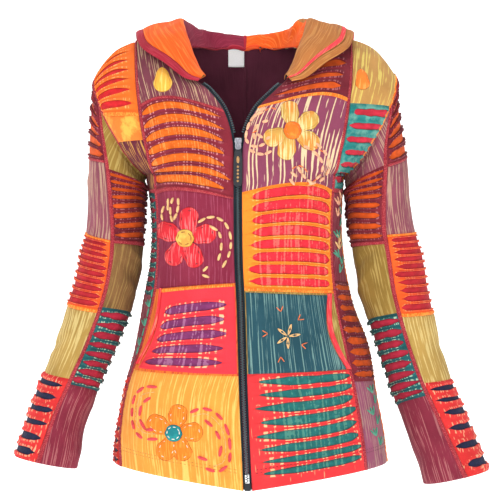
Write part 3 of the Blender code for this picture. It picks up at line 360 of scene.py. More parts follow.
def addBump(tree, shader, height, distance, strength):
    bump = addNode(tree, "ShaderNodeBump", {"Height": height, "Distance": distance, "Strength": strength})
    tree.links.new(bump.outputs[0], shader.inputs["Normal"])


def mixColor(tree, part, low, high):
    mix = addNode(tree, "ShaderNodeMix", data_type="RGBA")
    for socket, value in ((mix.inputs[0], part), (mix.inputs[6], low), (mix.inputs[7], high)):
        if isinstance(value, bpy.types.NodeSocket):
            tree.links.new(value, socket)
        else:
            socket.default_value = value
    return mix.outputs[2]


def sums(tree, operation, first, second=0.0, third=0.0):
    node = addNode(tree, "ShaderNodeMath", {0: first, 1: second, 2: third}, operation=operation)
    return node.outputs[0]


def mapTo(tree, value, low, high, start=0.0, end=1.0):
    node = addNode(tree, "ShaderNodeMapRange",
                   {"Value": value, "From Min": low, "From Max": high, "To Min": start, "To Max": end})
    return node.outputs[0]


def stretched(tree, place, across, along, detail=2.0, seed=0.0, rough=0.5):
    # noise whose features are so many metres across and along the cloth
    moved = addNode(tree, "ShaderNodeMapping",
                    {"Vector": place, "Location": (seed, seed * 1.7, seed),
                     "Scale": (1 / across, 1 / along, 1)}).outputs[0]
    return addNode(tree, "ShaderNodeTexNoise", {"Vector": moved, "Scale": 1.0, "Detail": detail,
                                                "Roughness": rough}).outputs["Fac"]


def jersey(name, look):
    # Cotton jersey, dyed by hand and cut through in places: a soft dull cloth with
    # fine ribs, uneven dye, its own streaks, bars or slit colours, and painted shade at cut edges and rims
    material, tree, shader = startMaterial(
        name, look["top"], 0.86, **{"Sheen Weight": 0.05, "Sheen Roughness": 0.5,
                                    "Specular IOR Level": 0.25})
    place = addNode(tree, "ShaderNodeUVMap", uv_map="cloth").outputs[0]
    seed = look.get("seed", 0.0)
    dye = stretched(tree, place, 0.035, 0.05, 3.0, seed + 3)
    shade = look.get("shade", 0.16)
    light = [min(1, c * (1 + shade) + 0.004) for c in paint(look["top"])[:3]] + [1]
    color = mixColor(tree, mapTo(tree, dye, 0.3, 0.7), dimmed(look["top"], 1 - shade), light)
    if "blot" in look:      # dye that has run
        blots = stretched(tree, place, 0.022, 0.03, 4.0, seed + 9, 0.6)
        color = mixColor(tree, mapTo(tree, blots, 0.47, 0.6, 0, look.get("blotShare", 0.8)),
                         color, paint(look["blot"]))
    edge = addNode(tree, "ShaderNodeAttribute", attribute_name="edge").outputs["Fac"]
    cut = addNode(tree, "ShaderNodeAttribute", attribute_name="cut").outputs["Fac"]
    if "streak" in look:    # uneven pale streaks down the cloth
        wide, long = look.get("wide", 3.0) * 0.0004, look.get("long", 90) * 0.0006
        share = look.get("share", 0.5)
        noise = stretched(tree, place, wide, long, 0.0, seed + 21)
        broken = stretched(tree, place, 0.005, 0.018, 2.0, seed + 5)
        broken = sums(tree, "SUBTRACT", broken, 0.5)
        level = sums(tree, "ADD", noise, sums(tree, "MULTIPLY", broken, look.get("calm", 1.0) * 0.35))
        start = 0.5 + (0.5 - share) * 0.26
        streak = mapTo(tree, level, start, start + look.get("soft", 0.07), 0, look.get("strong", 0.8))
        color = mixColor(tree, streak, color, paint(look["streak"]))
    if "under" in look:
        rolled = paint(look.get("rolled", look["top"]))
        color = mixColor(tree, sums(tree, "MULTIPLY", edge, look.get("roll", 0.25)), color, rolled)
    if "dots" in look:      # pale streaks that cross the rolled edges as dots
        columns = stretched(tree, place, look.get("dotWide", 4.5) * 0.0005, 0.06, 0.0, seed + 31)
        gate = stretched(tree, place, 0.006, 0.004, 2.0, seed + 33)
        gate = sums(tree, "MULTIPLY", sums(tree, "SUBTRACT", gate, 0.5), 0.5)
        crossing = mapTo(tree, sums(tree, "ADD", columns, gate), 0.56, 0.62)
        dots = sums(tree, "MULTIPLY", crossing, mapTo(tree, edge, 0.2, 0.6))
        color = mixColor(tree, sums(tree, "MULTIPLY", dots, look.get("dotStrong", 0.75)), color,
                         paint(look["dots"]))
    ribs = addNode(tree, "ShaderNodeTexWave", {"Vector": place, "Scale": 260.0, "Distortion": 1.2,
                                               "Detail": 1.0}, bands_direction="X").outputs["Fac"]
    nap = stretched(tree, place, 0.0016, 0.0022, 3.0, seed + 13, 0.7)
    color = mixColor(tree, mapTo(tree, nap, 0.35, 0.65, 0.0, 0.14), color, dimmed(look["top"], 0.55))
    if "under" in look:
        worn = stretched(tree, place, 0.012, 0.008, 2.0, seed + 17)
        floor = mixColor(tree, mapTo(tree, worn, 0.35, 0.65), dimmed(look["under"], 0.72),
                         paint(look["under"]))
        if "underStreak" in look:
            floor = mixColor(tree, sums(tree, "MULTIPLY", crossing, look.get("underStrong", 0.38)), floor,
                             paint(look["underStreak"]))
        color = mixColor(tree, mapTo(tree, cut, 0.44, 0.56), color, floor)
    # painted shade: where the edge attribute is below 0 (under cut edges, on the slit floors beside them,
    # round applique rims and grooves) the colour is darkened to a deep tone of the top
    paintedShade = mapTo(tree, edge, -0.15, -0.9, 0.0, 0.75)
    color = mixColor(tree, paintedShade, color, dimmed(look["top"], 0.15))
    tree.links.new(color, shader.inputs["Base Color"])
    pucker = stretched(tree, place, 0.009, 0.013, 3.0, seed + 51, 0.6)
    height = sums(tree, "ADD", sums(tree, "MULTIPLY", ribs, 0.00018),
                  sums(tree, "ADD", sums(tree, "MULTIPLY", nap, 0.00030),
                       sums(tree, "MULTIPLY", pucker, look.get("pucker", 1.1) * 0.001)))
    addBump(tree, shader, height, 1.0, 0.8)
    return material


looks = {
    "yellowStreak": dict(top="#EE983A", streak="#FFD878", wide=6, long=150, share=0.42, soft=0.16,
                         strong=0.62, seed=1.0, shade=0.1),
    "pocketBack": dict(top="#E07028", streak="#B83A28", wide=4, share=0.25),
    "maroonRose": dict(top="#80203A", streak="#A8506A", wide=4, long=110, share=0.22, strong=0.5, seed=2.0,
                       shade=0.12),
    "crimsonOrange": dict(top="#80202F", under="#EE6A1A", rolled="#7C2A42", roll=0.5, dots="#E8A0A0",
                          seed=3.0, shade=0.2, underStreak="#FFB060"),
    "mauveStreak": dict(top="#743644", streak="#D8B890", wide=4.6, long=140, share=0.29, strong=0.75,
                        soft=0.09, seed=4.0),
    "redTeal": dict(top="#E03438", streak="#F8C890", wide=7, long=40, share=-0.5, strong=0.55,
                    under="#23706E", rolled="#F4504C", dots="#FFDCA0", underStreak="#7FC0A0",
                    underStrong=0.24, seed=5.0, dotWide=8.5, shade=0.1),
    "tealStreak": dict(top="#1E4854", streak="#86ACA4", wide=3.0, long=170, share=0.14, strong=0.62, calm=0.7,
                       seed=6.0, shade=0.12),
    "orangeRed": dict(top="#F48422", underStrong=0.2, under="#E82C3C", rolled="#FFA53C", dots="#FFD890",
                      dotStrong=0.35, underStreak="#FFB8A0", dotWide=7, seed=7.0, shade=0.1),
    "mauveBars": dict(top="#843C56", streak="#E8D0A4", wide=7.5, long=150, share=0.2, strong=0.88, soft=0.05,
                      calm=0.9, seed=8.0, shade=0.1),
    "maroonOrange": dict(top="#741C2A", under="#E05818", rolled="#481426", roll=0.5, dots="#C87878",
                         dotStrong=0.6, seed=9.0, shade=0.25),
    "redNavy": dict(top="#D03028", under="#232A48", rolled="#E86050", dots="#F0B890", seed=10.0, shade=0.2,
                    pucker=1.8),
    "redNavyCuff": dict(top="#D02C2C", streak="#F4CC9C", wide=6, long=24, share=-0.25, strong=0.7,
                        under="#232A48", rolled="#E0443C", dots="#F4CC9C", dotStrong=0.5, seed=48.0,
                        shade=0.15, pucker=1.8),
    "oliveBrown": dict(top="#785630", streak="#A4864C", wide=5, long=120, share=0.38, strong=0.6, soft=0.12,
                       seed=49.0, pucker=1.8, shade=0.25),
    "oliveLight": dict(top="#AC8A46", streak="#DCC684", wide=7, long=120, share=0.42, strong=0.7, soft=0.12,
                       seed=50.0, pucker=1.6),
    "maroonPlain": dict(top="#7C2236", streak="#B87474", wide=4, long=130, share=0.14, strong=0.6, seed=11.0,
                        pucker=1.8),
    "tealRed": dict(top="#185458", under="#B82840", rolled="#3A8480", dots="#C0D8B8", seed=12.0, shade=0.25,
                    pucker=1.8),
    "maroonGold": dict(top="#601C2E", streak="#D09848", wide=4, long=60, share=0.25, seed=13.0),
    "tieDye": dict(top="#DC7428", blot="#F4BC50", blotShare=0.8, seed=14.0, shade=0.22),
    "orangeOverRed": dict(top="#F06A1C", under="#D8242C", rolled="#FF9048", dots="#FFC880", dotStrong=0.5,
                          seed=15.0, shade=0.15, pucker=1.6),
    "tanStripe": dict(top="#B8884A", streak="#DCC868", wide=6, long=120, share=0.35, seed=16.0, soft=0.1),
    "tealDye": dict(top="#187472", blot="#8AC0A8", blotShare=0.5, under="#D02C40", rolled="#4A9890",
                    seed=17.0, shade=0.25, pucker=1.8),
    "mauveGreen": dict(top="#96506A", streak="#B89888", wide=5, long=120, share=0.4, seed=18.0, strong=0.65),
    "oliveStripe": dict(top="#8E7030", streak="#BCA460", wide=7, long=120, share=0.35, strong=0.6, soft=0.12,
                        seed=19.0, pucker=1.6),
    "mauveSleeve": dict(top="#864252", streak="#C4A486", wide=5, long=150, share=0.38, strong=0.65, soft=0.09,
                        seed=20.0, pucker=1.6),
    "orangeCrimson": dict(top="#EC5A20", under="#C02834", rolled="#F88838", dots="#FFB880", dotStrong=0.5,
                          seed=21.0, shade=0.2, pucker=1.8),
    "redPurple": dict(top="#EA3440", under="#7E3468", rolled="#F45050", dots="#FFDCA8", underStreak="#C890B8",
                      dotWide=7, seed=22.0, shade=0.08),
    "band": dict(top="#94202F", streak="#D86868", wide=2.0, long=2.6, share=0.3, strong=0.6, seed=24.0,
                 pucker=1.8),
    "orangeBand": dict(top="#F0701F", streak="#FFB04C", wide=2.2, long=9, share=0.35, seed=25.0),
    "redBand": dict(top="#E0303A", streak="#FF9078", wide=2.2, long=4, share=0.3, seed=42.0),
    "binding": dict(top="#EC3A44", streak="#FF8878", wide=3, long=30, share=0.2, strong=0.6, seed=26.0),
    "oliveBand": dict(top="#947634", streak="#C8B068", wide=3, long=40, share=0.3, seed=27.0),
    "inside": dict(top="#541C30", streak="#582434", wide=4, long=90, share=0.3, strong=0.5, seed=28.0),
    "insideRed": dict(top="#C42A34", streak="#E05A50", wide=4, long=60, share=0.3, strong=0.5, seed=29.0),
    "hoodOrange": dict(top="#EC5A14", streak="#FF9040", wide=6, long=90, share=0.35, strong=0.5, soft=0.14,
                       seed=30.0),
    "hoodTan": dict(top="#AC6A34", streak="#CC9050", wide=5, long=90, share=0.4, strong=0.6, soft=0.12,
                    seed=31.0),
    "hoodNavy": dict(top="#242238", streak="#7A3A50", wide=5, long=60, share=0.25, seed=32.0),
    "redPocket": dict(top="#E8323C", streak="#FF8A74", wide=3, long=60, share=0.3, seed=43.0),
    "hoodMaroon": dict(top="#82203A", streak="#A03850", wide=4, long=60, share=0.25, strong=0.5, seed=44.0),
    "hoodOrangeRed": dict(top="#E8481C", streak="#FF7840", wide=4, long=40, share=0.3, strong=0.5, seed=45.0),
    "zipTape": dict(top="#14222B", shade=0.1, seed=46.0, pucker=0.3),
    "satin": dict(top="#FFFFFF", shade=0.03, seed=47.0, pucker=0.2),
    "hoodBand": dict(top="#9E1C30", streak="#B84050", wide=4, long=60, share=0.3, strong=0.5, seed=33.0),
    "petalRed": dict(top="#D62632", streak="#F88080", wide=4, long=40, share=0.3, strong=0.7, seed=34.0,
                     shade=0.08),
    "petalOrange": dict(top="#F87E20", streak="#FFA848", wide=4, long=40, share=0.3, strong=0.5, seed=35.0,
                        shade=0.08),
    "petalTan": dict(top="#CFA04C", streak="#F2DCA0", wide=5, long=60, share=0.35, blot="#E07A2C",
                     blotShare=0.6, seed=36.0),
    "discYellow": dict(top="#F2C860", blot="#D08A38", seed=37.0),
    "discTeal": dict(top="#187C84", blot="#2A9A98", seed=38.0),
    "discOrange": dict(top="#F07222", blot="#FFA040", seed=39.0),
    "dropYellow": dict(top="#F6B040", streak="#FFD878", wide=7, long=60, share=0.4, soft=0.1, seed=40.0),
    "dropOrange": dict(top="#F07C2A", streak="#FFA858", wide=6, long=40, share=0.3, seed=41.0),
}
cloths = {name: jersey(name, look) for name, look in looks.items()}
print("cloths mixed")


pieces = bpy.data.collections.new("Cloth")
bpy.context.scene.collection.children.link(pieces)

sideBand = 1.3        # how much wider the side seams' bands are
bandEnd = 4.6         # how far a seam's band reaches on the patch
plainEdge = [(0.0, 0.55), (0.5, 0.95), (1.2, 1.35), (2.4, flatTop)]
bandEdge = [(0.0, 0.6), (0.35, 1.7), (1.1, 2.7), (2.2, 3.1), (3.3, 2.9), (4.2, 2.2), (4.7, 1.3),
            (5.6, flatTop)]
stripRows = [(0.0, 0), (0.3, 0.3), (0.55, 0.8), (0.75, 1.0), (0.88, 0.92), (0.96, 0.55), (1.0, 0.1)]
floorRows = [(0.07, -0.1), (0.2, 0.0), (1.0, 0.25)]


def meshFrom(builder, name):
    mesh = bpy.data.meshes.new(name)
    builder.to_mesh(mesh)
    builder.free()
    return mesh


def addPiece(name, mesh, materials, body="jacket"):
    for material in materials:
        mesh.materials.append(material)
    mesh.shade_smooth()
    mesh.update()
    piece = bpy.data.objects.new(name, mesh)
    pieces.objects.link(piece)
    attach(piece, body)
    return piece


def addFlat(mesh, flat):
    # the cloth's flat places in metres, as the piece's own UV map
    corner = np.empty(len(mesh.loops), np.int32)
    mesh.loops.foreach_get("vertex_index", corner)
    flat = flat.reshape(-1, 2)[corner] * mm
    mesh.uv_layers.new(name="cloth").data.foreach_set("uv", flat.astype(np.float32).ravel())


def addShares(mesh, label, shares):
    data = mesh.attributes.new(label, "FLOAT", "POINT").data
    data.foreach_set("value", shares.astype(np.float32).ravel())


def thicken(piece, thickness):
    shell = piece.modifiers.new("Thickness", "SOLIDIFY")
    shell.thickness = thickness * mm
    shell.offset = -1
    return shell


def gridSteps(points):
    # lengths from each point to the next, across and along
    return [np.linalg.norm(np.diff(points, axis=axis), axis=-1) for axis in (1, 0)]


def clothGrid(name, points, outward, looks, insides, thickness=clothThick, cut=None, edge=None, zones=None,
              base=None, flat=(None, None)):
    # one sheet of cloth from rows of points, closed to a thin shell; outward is
    # the way out at its middle, base the plain surface that the cloth was cut to
    rows, cols = points.shape[:2]
    here = points[rows // 2, cols // 2]
    byU, byV = points[rows // 2, cols // 2 + 1] - here, points[rows // 2 + 1, cols // 2] - here
    grids = [points, points if base is None else base, cut, edge, zones, *flat]
    if np.dot(np.cross(byU, byV), outward) < 0:     # mirrored, as it would face inward
        grids = [None if grid is None else grid[:, ::-1] for grid in grids]
    points, base, cut, edge, zones, across, along = grids
    if across is None:
        across, along = (np.insert(np.cumsum(steps, axis), 0, 0, axis)
                         for steps, axis in zip(gridSteps(base), (1, 0)))
        across = across - across[:, cols // 2][:, None]
    builder = bmesh.new()
    bmesh.ops.create_grid(builder, x_segments=cols - 1, y_segments=rows - 1, size=1)
    mesh = meshFrom(builder, name)
    mesh.vertices.foreach_set("co", (points * mm).astype(np.float32).ravel())
    addFlat(mesh, np.stack((across, along), -1))
    for label, shares in (("cut", cut), ("edge", edge)):
        if shares is not None:
            addShares(mesh, label, shares)
    if zones is not None:
        mesh.polygons.foreach_set("material_index", zones.astype(np.int32).ravel())
    piece = addPiece(name, mesh, [cloths[look] for look in looks + insides])
    shell = thicken(piece, thickness)
    shell.material_offset = len(looks)
    shell.material_offset_rim = 0
    return piece


def declareSheet(node=None):
    # hides the part that the sheet replaces, when one is given
    if node:
        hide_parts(node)


def slitOpening(patch, u, index):
    # half the opening of a slit in mm at each place across
    seed = patch.get("seed", 3)
    rolls = np.random.default_rng(int(seed * 97 + index))
    start, end = patch.get("span", (0.07, 0.93))
    start, end = start + rolls.uniform(-0.025, 0.025), end + rolls.uniform(-0.025, 0.025)
    part = np.clip((u - start) / (end - start), 0, 1)
    wide = patch["open"] * rolls.uniform(0.86, 1.1)
    swell = np.sin(np.pi * part)
    wobble = 1 + 0.12 * softNoise(u * 9, np.full(u.shape, index * 3.1), 77)
    if patch.get("shape") == "stadium":
        return wide * np.clip(swell * 3.4, 0, 1) ** 0.5 * wobble
    if patch.get("shape") == "torn":
        rough = 1 + 0.35 * softNoise(u * 14, np.full(u.shape, index * 1.7), int(seed) + 5)
        return wide * np.clip(swell * 3.2, 0, 1) ** 0.6 * rough
    taper = np.clip(part / 0.26, 0, 1) ** patch.get("full", 0.6) * np.clip((1 - part) / 0.15, 0, 1) ** 0.6
    return wide * taper * wobble


def patchRows(patch, size, u):
    # rows of a patch from its lower edge: place and height in mm, how much each is cut floor,
    # its edge value (rolled edge above 0, painted shade below 0), and whether it is a seam band
    place, height, cut, edge, isBand = [], [], [], [], []
    none = np.zeros(u.shape)

    def addRow(where, high, cutHere=none, edgeHere=none, band=False):
        for rows, value in ((place, where), (height, high), (cut, cutHere), (edge, edgeHere)):
            rows.append(value + none)
        isBand.append(band)

    def addMargin(start, wide):
        count = int(wide / 3.5) + 1
        for step in range(1, count):
            addRow(start + wide * step / count, flatTop)

    lowEdge = bandEdge if "low" in patch else plainEdge
    highEdge = bandEdge if "high" in patch else plainEdge
    below, above = patch.get("below", 0), patch.get("above", 0)
    for where, high in lowEdge:
        addRow(where, high, band="low" in patch and where < bandEnd)
    addMargin(lowEdge[-1][0], below)
    start, end = lowEdge[-1][0] + below, size - highEdge[-1][0] - above
    isTorn = patch.get("shape") == "torn"
    if patch.get("slits"):
        half = (end - start) / patch["slits"] / 2
        crest, groove = patch.get("crest", 3.3), patch.get("groove", 2.2 if isTorn else 1.5)
        for index in range(patch["slits"]):
            opening = np.minimum(slitOpening(patch, u, index), half * patch.get("most", 0.72))
            opened = smooth(0.1, 1.5, opening)
            middle = start + (2 * index + 1) * half
            rough = 0
            if isTorn:
                rough = 1.2 * (0.3 + softNoise(u * 26, np.full(u.shape, index * 2.3), 40 + index))
            strips = [("strip", *row) for row in stripRows]
            lowSide = strips[min(index, 1):] + [("floor", *row) for row in floorRows]
            highSide = [("floor", *row) for row in floorRows[-2::-1]] + strips[::-1]
            for way, kind, part, level in [(-1, *row) for row in lowSide] + [(1, *row) for row in highSide]:
                # an edge of -1 under a strip's cut edge and -0.7 on the floor beside it is painted shade
                if kind == "strip":
                    rolled = groove + (crest + rough - groove) * level if part < 1 else 0.9
                    addRow(middle + way * (half - (half - opening) * part),
                           flatTop + (rolled - flatTop) * opened,
                           0.5 * (part == 1) * opened, (level ** 2 if part < 1 else -1.0) * opened)
                else:
                    addRow(middle + way * opening * (1 - part), flatTop + (0.55 + level - flatTop) * opened,
                           smooth(0.05, 0.35, opening), (-0.7 if part < 0.1 else 0.0) * opened)
    else:
        count = max(2, int(np.mean(end - start) / 4.0))
        for step in range(1, count):
            addRow(start + (end - start) * step / count, flatTop)
    addMargin(end, above)
    for where, high in highEdge[::-1]:
        addRow(size - where, high, band="high" in patch and where < bandEnd)
    place = np.array(place)
    sweep = patch.get("sweep", 0.0) * u ** 2 - patch.get("dip", 0.0) * (1 - u) ** 4
    place = place + sweep * np.sin(np.pi * np.clip(place / size, 0, 1)) ** 0.8
    return place, np.array(height), np.array(cut), np.array(edge), isBand


def patchZones(patch, isBand, looks):
    # number of the look of each row of a patch, a new one added to the list
    zones = []
    for row, band in enumerate(isBand):
        look = patch[("low" if row < len(isBand) / 2 else "high") if band else "look"]
        if look not in looks:
            looks.append(look)
        zones.append(looks.index(look))
    return zones


def patchEdges(name, patches, u):
    # row place of every patch boundary, hem or cuff first
    sleeve = name.startswith("sleeve")
    edges = [np.full(u.shape, cuffRow if sleeve else 0.0)]
    for patch in patches[1:]:
        start, end = patch["z"]
        share = 1 - np.abs(2 * u - 1) if sleeve else u
        z = start + (end - start) * share + patch.get("bow", 0) * 4 * u * (1 - u)
        edges.append(rowAtHeight(name, z, u))
    return edges + [np.full(u.shape, 0.0 if sleeve else topRow)]


def spreadColumns(width, pitch, bands):
    # places across a panel, closer beside its seams
    seam = np.array((0.0, 0.4, 1.1, 2.2, 3.3, 4.2, 4.8)) * sideBand
    plain = np.array((0.0, 0.6, 1.5))
    start, end = (seam if band else plain for band in bands)
    low, high = start[-1] + 1.6, width - end[-1] - 1.6
    inner = np.linspace(low, high, max(6, int((high - low) / pitch)))
    return np.concatenate((start, inner, width - end[::-1])) / width


def panelWidth(name):
    probe = plainPoint(name, np.full(41, panelTop(name) * 0.35), np.linspace(0, 1, 41))
    return np.linalg.norm(np.diff(probe, axis=0), axis=1).sum()


def lumps(name, v, u):
    # small uneven swells of the worn cloth
    seed = sum(ord(letter) for letter in name)
    wide, tall = u * panelWidth(name) / 30, v * rowLong / 26
    swell = 0.9 * softNoise(wide, tall, seed) + 0.45 * softNoise(wide * 2.6, tall * 2.2, seed + 1)
    return swell * (1.2 if name.startswith("sleeve") else 0.6)


def makePanel(name, patches, bands, inside="inside", pitch=4.0):
    # one column of patches; bands are the looks of its two long seams
    width = panelWidth(name)
    u = spreadColumns(width, pitch, bands)
    if "_center" in name:       # the band reaches across the seam to the next column
        u[-1] += 1.3 / width
    if "inner" in name:
        u[0], u[-1] = -0.8 / width, 1 + 0.8 / width
    edges = patchEdges(name, patches, u)
    parts, zones, looks = [], [], []
    for index, patch in enumerate(patches):
        low, high = edges[index], edges[index + 1]
        size = np.linalg.norm(plainPoint(name, high, u) - plainPoint(name, low, u), axis=-1)
        size = np.maximum(size, 14.0)
        place, height, cut, edge, isBand = patchRows(patch, size, u)
        skip = min(index, 1)        # its first row is the last patch's last
        parts.append([grid[skip:] for grid in (low + (high - low) * (place / size), height, cut, edge)])
        zones += patchZones(patch, isBand, looks)[skip:]
    v, height, cut, edge = (np.concatenate(grids) for grids in zip(*parts))
    zones = np.repeat(np.array(zones[1:])[:, None], len(u) - 1, 1)
    for band, away in zip(bands, (u * width, (1 - u) * width)):
        if band:
            inBand = away < 4.9 * sideBand
            twist = 0.35 * np.sin(v * rowLong / 2.6 * np.pi)
            height = np.where(inBand, np.interp(away / sideBand, *zip(*bandEdge)) + twist, height)
            cut, edge = np.where(inBand, 0, cut), np.where(inBand, 0, edge)
            if band not in looks:
                looks.append(band)
            zones[:, inBand[1:] & inBand[:-1]] = looks.index(band)
        else:
            height = 0.5 + (height - 0.5) * smooth(-0.6, 1.8, away)
    across = np.broadcast_to(u, v.shape)
    height = height + lumps(name, v, across) * smooth(-0.6, 1.8, np.minimum(across, 1 - across) * width)
    points = panelPoint(name, v, across, height)
    if name.startswith("back_center"):      # the two halves meet down the middle
        sign = sideSign[name[-1]]
        points[..., 0] = sign * np.maximum(sign * points[..., 0], 0.05)
        points[:, 0, 0] = np.where(v[:, 0] < neckRow, sign * 0.05, points[:, 0, 0])
    outward = panelNormal(name, v[len(v) // 2:len(v) // 2 + 1], across[:1])[0, len(u) // 2]
    base = plainPoint(name, v, across)
    piece = clothGrid("cloth_" + name, points, outward, looks, [inside], cut=cut, edge=edge, zones=zones,
                      base=base)
    declareSheet(name)


def torn(look, slits, wide, seed, span=(0.03, 0.97), crest=3.6, **more):
    # a patch cut into ragged strips that curl up
    return dict(look=look, slits=slits, open=wide, seed=seed, shape="torn", span=span, crest=crest, **more)


# overlocked bands along each column's two long seams
seamBands = {
    "front_center_r": (None, "band"), "front_center_l": (None, "band"),
    "front_side_r": (None, "band"), "front_side_l": (None, "orangeBand"),
    "back_center_r": (None, "band"), "back_center_l": (None, "orangeBand"),
    "back_side_r": (None, "band"), "back_side_l": (None, "band"),
    "sleeve_outer_r": (None, None), "sleeve_outer_l": (None, None),
    "sleeve_inner_r": ("band", "band"), "sleeve_inner_l": ("band", "band"),
}

# each column's patches from the hem or cuff up: z of the lower edge at both
# sides and its bow, the cloth, and how it is slit, with openings in mm
fronts = {
    "front_center_r": [
        dict(look="yellowStreak"),
        dict(z=(-476, -470), look="pocketBack"),
        dict(z=(-344, -354), look="maroonRose"),
        dict(z=(-225, -217), bow=8, look="crimsonOrange", slits=7, open=6.6, most=0.64, span=(0.045, 0.965),
             dip=12, low="band", high="band", seed=2, full=0.45),
        dict(z=(-97, -91), bow=17, look="mauveStreak"),
    ],
    "front_center_l": [
        dict(look="redTeal", slits=8, open=5.9, span=(0.05, 0.95), sweep=12, seed=5, below=12, full=0.55),
        dict(z=(-473, -468), look="oliveBand"),
        dict(z=(-355, -360), look="orangeRed", slits=8, open=7.0, span=(0.055, 0.93), shape="stadium",
             most=0.76, groove=1.2, crest=3.2, seed=7, low="orangeBand"),
        dict(z=(-215, -212), bow=13, look="mauveBars"),
        dict(z=(-96, -87), bow=15, look="maroonOrange", slits=5, open=6.6, span=(0.02, 0.84), seed=9,
             low="orangeBand"),
    ],
    "front_side_r": [
        torn("redNavy", 7, 4.4, 31, crest=3.8),
        dict(z=(-480, -484), look="maroonPlain"),
        torn("tealRed", 10, 4.2, 32, z=(-362, -362), crest=3.8),
        dict(z=(-215, -214), look="maroonGold", low="band"),
        dict(z=(-140, -142), look="tieDye"),
        dict(z=(-106, -103), look="orangeOverRed", slits=7, open=4.4, seed=33, span=(0.1, 0.9), groove=1.5,
             sweep=-11, most=0.62, low="orangeBand"),
    ],
    "front_side_l": [
        dict(look="mauveGreen"),
        torn("maroonOrange", 9, 5.0, 34, z=(-486, -488)),
        dict(z=(-341, -344), look="maroonPlain"),
        torn("tealDye", 7, 4.6, 35, z=(-214, -214), low="band"),
        dict(z=(-87, -90), look="tanStripe"),
    ],
}

backs = {
    "back_center_r": [
        dict(look="crimsonOrange", slits=7, open=5.4, seed=41),
        dict(z=(-520, -516), bow=-5, look="mauveStreak", low="band"),
        dict(z=(-400, -404), bow=6, look="redPurple", slits=7, open=5.2, seed=42),
        dict(z=(-285, -282), bow=5, look="yellowStreak", low="orangeBand"),
        dict(z=(-150, -155), bow=6, look="maroonRose", low="band"),
    ],
    "back_center_l": [
        dict(look="tealStreak"),
        dict(z=(-500, -504), bow=5, look="orangeRed", slits=7, open=5.6, shape="stadium", most=0.56,
             groove=1.5, seed=43),
        dict(z=(-385, -380), bow=6, look="maroonRose", low="band"),
        dict(z=(-255, -260), bow=5, look="redTeal", slits=7, open=5.0, seed=44),
        dict(z=(-135, -130), bow=6, look="mauveBars", low="band"),
    ],
    "back_side_r": [
        dict(look="maroonPlain"),
        torn("redNavy", 8, 4.6, 45, z=(-490, -484)),
        dict(z=(-362, -362), look="oliveStripe"),
        torn("tealRed", 6, 4.4, 46, z=(-214, -214), low="band"),
        dict(z=(-110, -112), look="tieDye"),
    ],
    "back_side_l": [
        torn("orangeCrimson", 9, 4.6, 47),
        dict(z=(-486, -488), look="mauveGreen"),
        torn("maroonOrange", 7, 4.6, 48, z=(-341, -344)),
        dict(z=(-214, -214), look="maroonGold", low="band"),
        dict(z=(-96, -100), look="orangeOverRed", slits=6, open=3.8, seed=49),
    ],
}

sleeves = {
    "sleeve_outer_r": [
        torn("redNavyCuff", 6, 4.4, 51, span=(0.04, 0.96), most=0.5, groove=2.8),
        dict(z=(-483, -473), look="oliveLight"),
        torn("orangeCrimson", 10, 5.4, 52, z=(-388, -378), most=0.74, low="orangeBand", high="orangeBand"),
        dict(z=(-283, -270), look="mauveSleeve"),
        torn("maroonOrange", 6, 7.8, 53, z=(-171, -164), most=0.72, crest=3.7, low="band"),
    ],
    "sleeve_inner_r": [
        dict(look="maroonPlain"),
        torn("tealRed", 8, 5.4, 54, z=(-490, -505), most=0.72),
        dict(z=(-379, -388), look="oliveBrown"),
        torn("maroonOrange", 8, 5.0, 55, z=(-287, -292), most=0.54, low="band"),
        dict(z=(-178, -205), look="oliveStripe"),
    ],
    "sleeve_outer_l": [
        torn("redNavyCuff", 6, 4.4, 56, span=(0.04, 0.96), most=0.5, groove=2.8),
        dict(z=(-489, -484), look="oliveLight"),
        torn("orangeCrimson", 10, 5.4, 57, z=(-394, -390), most=0.74, low="orangeBand", high="orangeBand"),
        dict(z=(-275, -270), look="mauveSleeve"),
        torn("maroonOrange", 6, 7.8, 58, z=(-177, -162), most=0.72, crest=3.7, low="band"),
    ],
    "sleeve_inner_l": [
        dict(look="maroonPlain"),
        torn("tealRed", 8, 5.4, 59, z=(-506, -524), most=0.72),
        dict(z=(-387, -400), look="oliveStripe"),
        torn("maroonOrange", 8, 5.0, 60, z=(-288, -294), most=0.54, low="band"),
        dict(z=(-172, -210), look="mauveSleeve"),
    ],
}

for group, columns in (("fronts", fronts), ("backs", backs), ("sleeves", sleeves)):
    for name, patches in columns.items():
        makePanel(name, patches, seamBands[name], "insideRed" if group == "sleeves" else "inside")
    print(group, "made")


# small sewn-on things are one template, copied along arrays and joined
def makeTemplate(make, **size):
    builder = bmesh.new()
    make(builder, **size)
    shape = np.array([spot.co[:] for spot in builder.verts])
    faces = [[spot.index for spot in face.verts] for face in builder.faces]
    builder.free()
    return shape, faces


def joinCopies(name, copies, faces, material, body="jacket", flats=None, edges=None):
    # copies of one template, each a row of points in mm
    count, size = copies.shape[:2]
    every = [[n * size + corner for corner in face] for n in range(count) for face in faces]
    mesh = bpy.data.meshes.new(name)
    mesh.from_pydata((copies.reshape(-1, 3) * mm).tolist(), [], every)
    if flats is None:       # closed copies, which a mirrored placing turned inside out
        builder = bmesh.new()
        builder.from_mesh(mesh)
        bmesh.ops.recalc_face_normals(builder, faces=builder.faces)
        builder.to_mesh(mesh)
        builder.free()
    else:
        addFlat(mesh, flats)
    if edges is not None:
        addShares(mesh, "edge", np.tile(edges, count))
    return addPiece(name, mesh, [material], body)


def surfaceAt(name, x, z, lift):
    # places on the dressed cloth above given x and z, and the way out there
    v, u = placeAt(name, x, z)
    return panelPoint(name, v, u, flatTop + lumps(name, v, u) + lift), panelNormal(name, v, u)


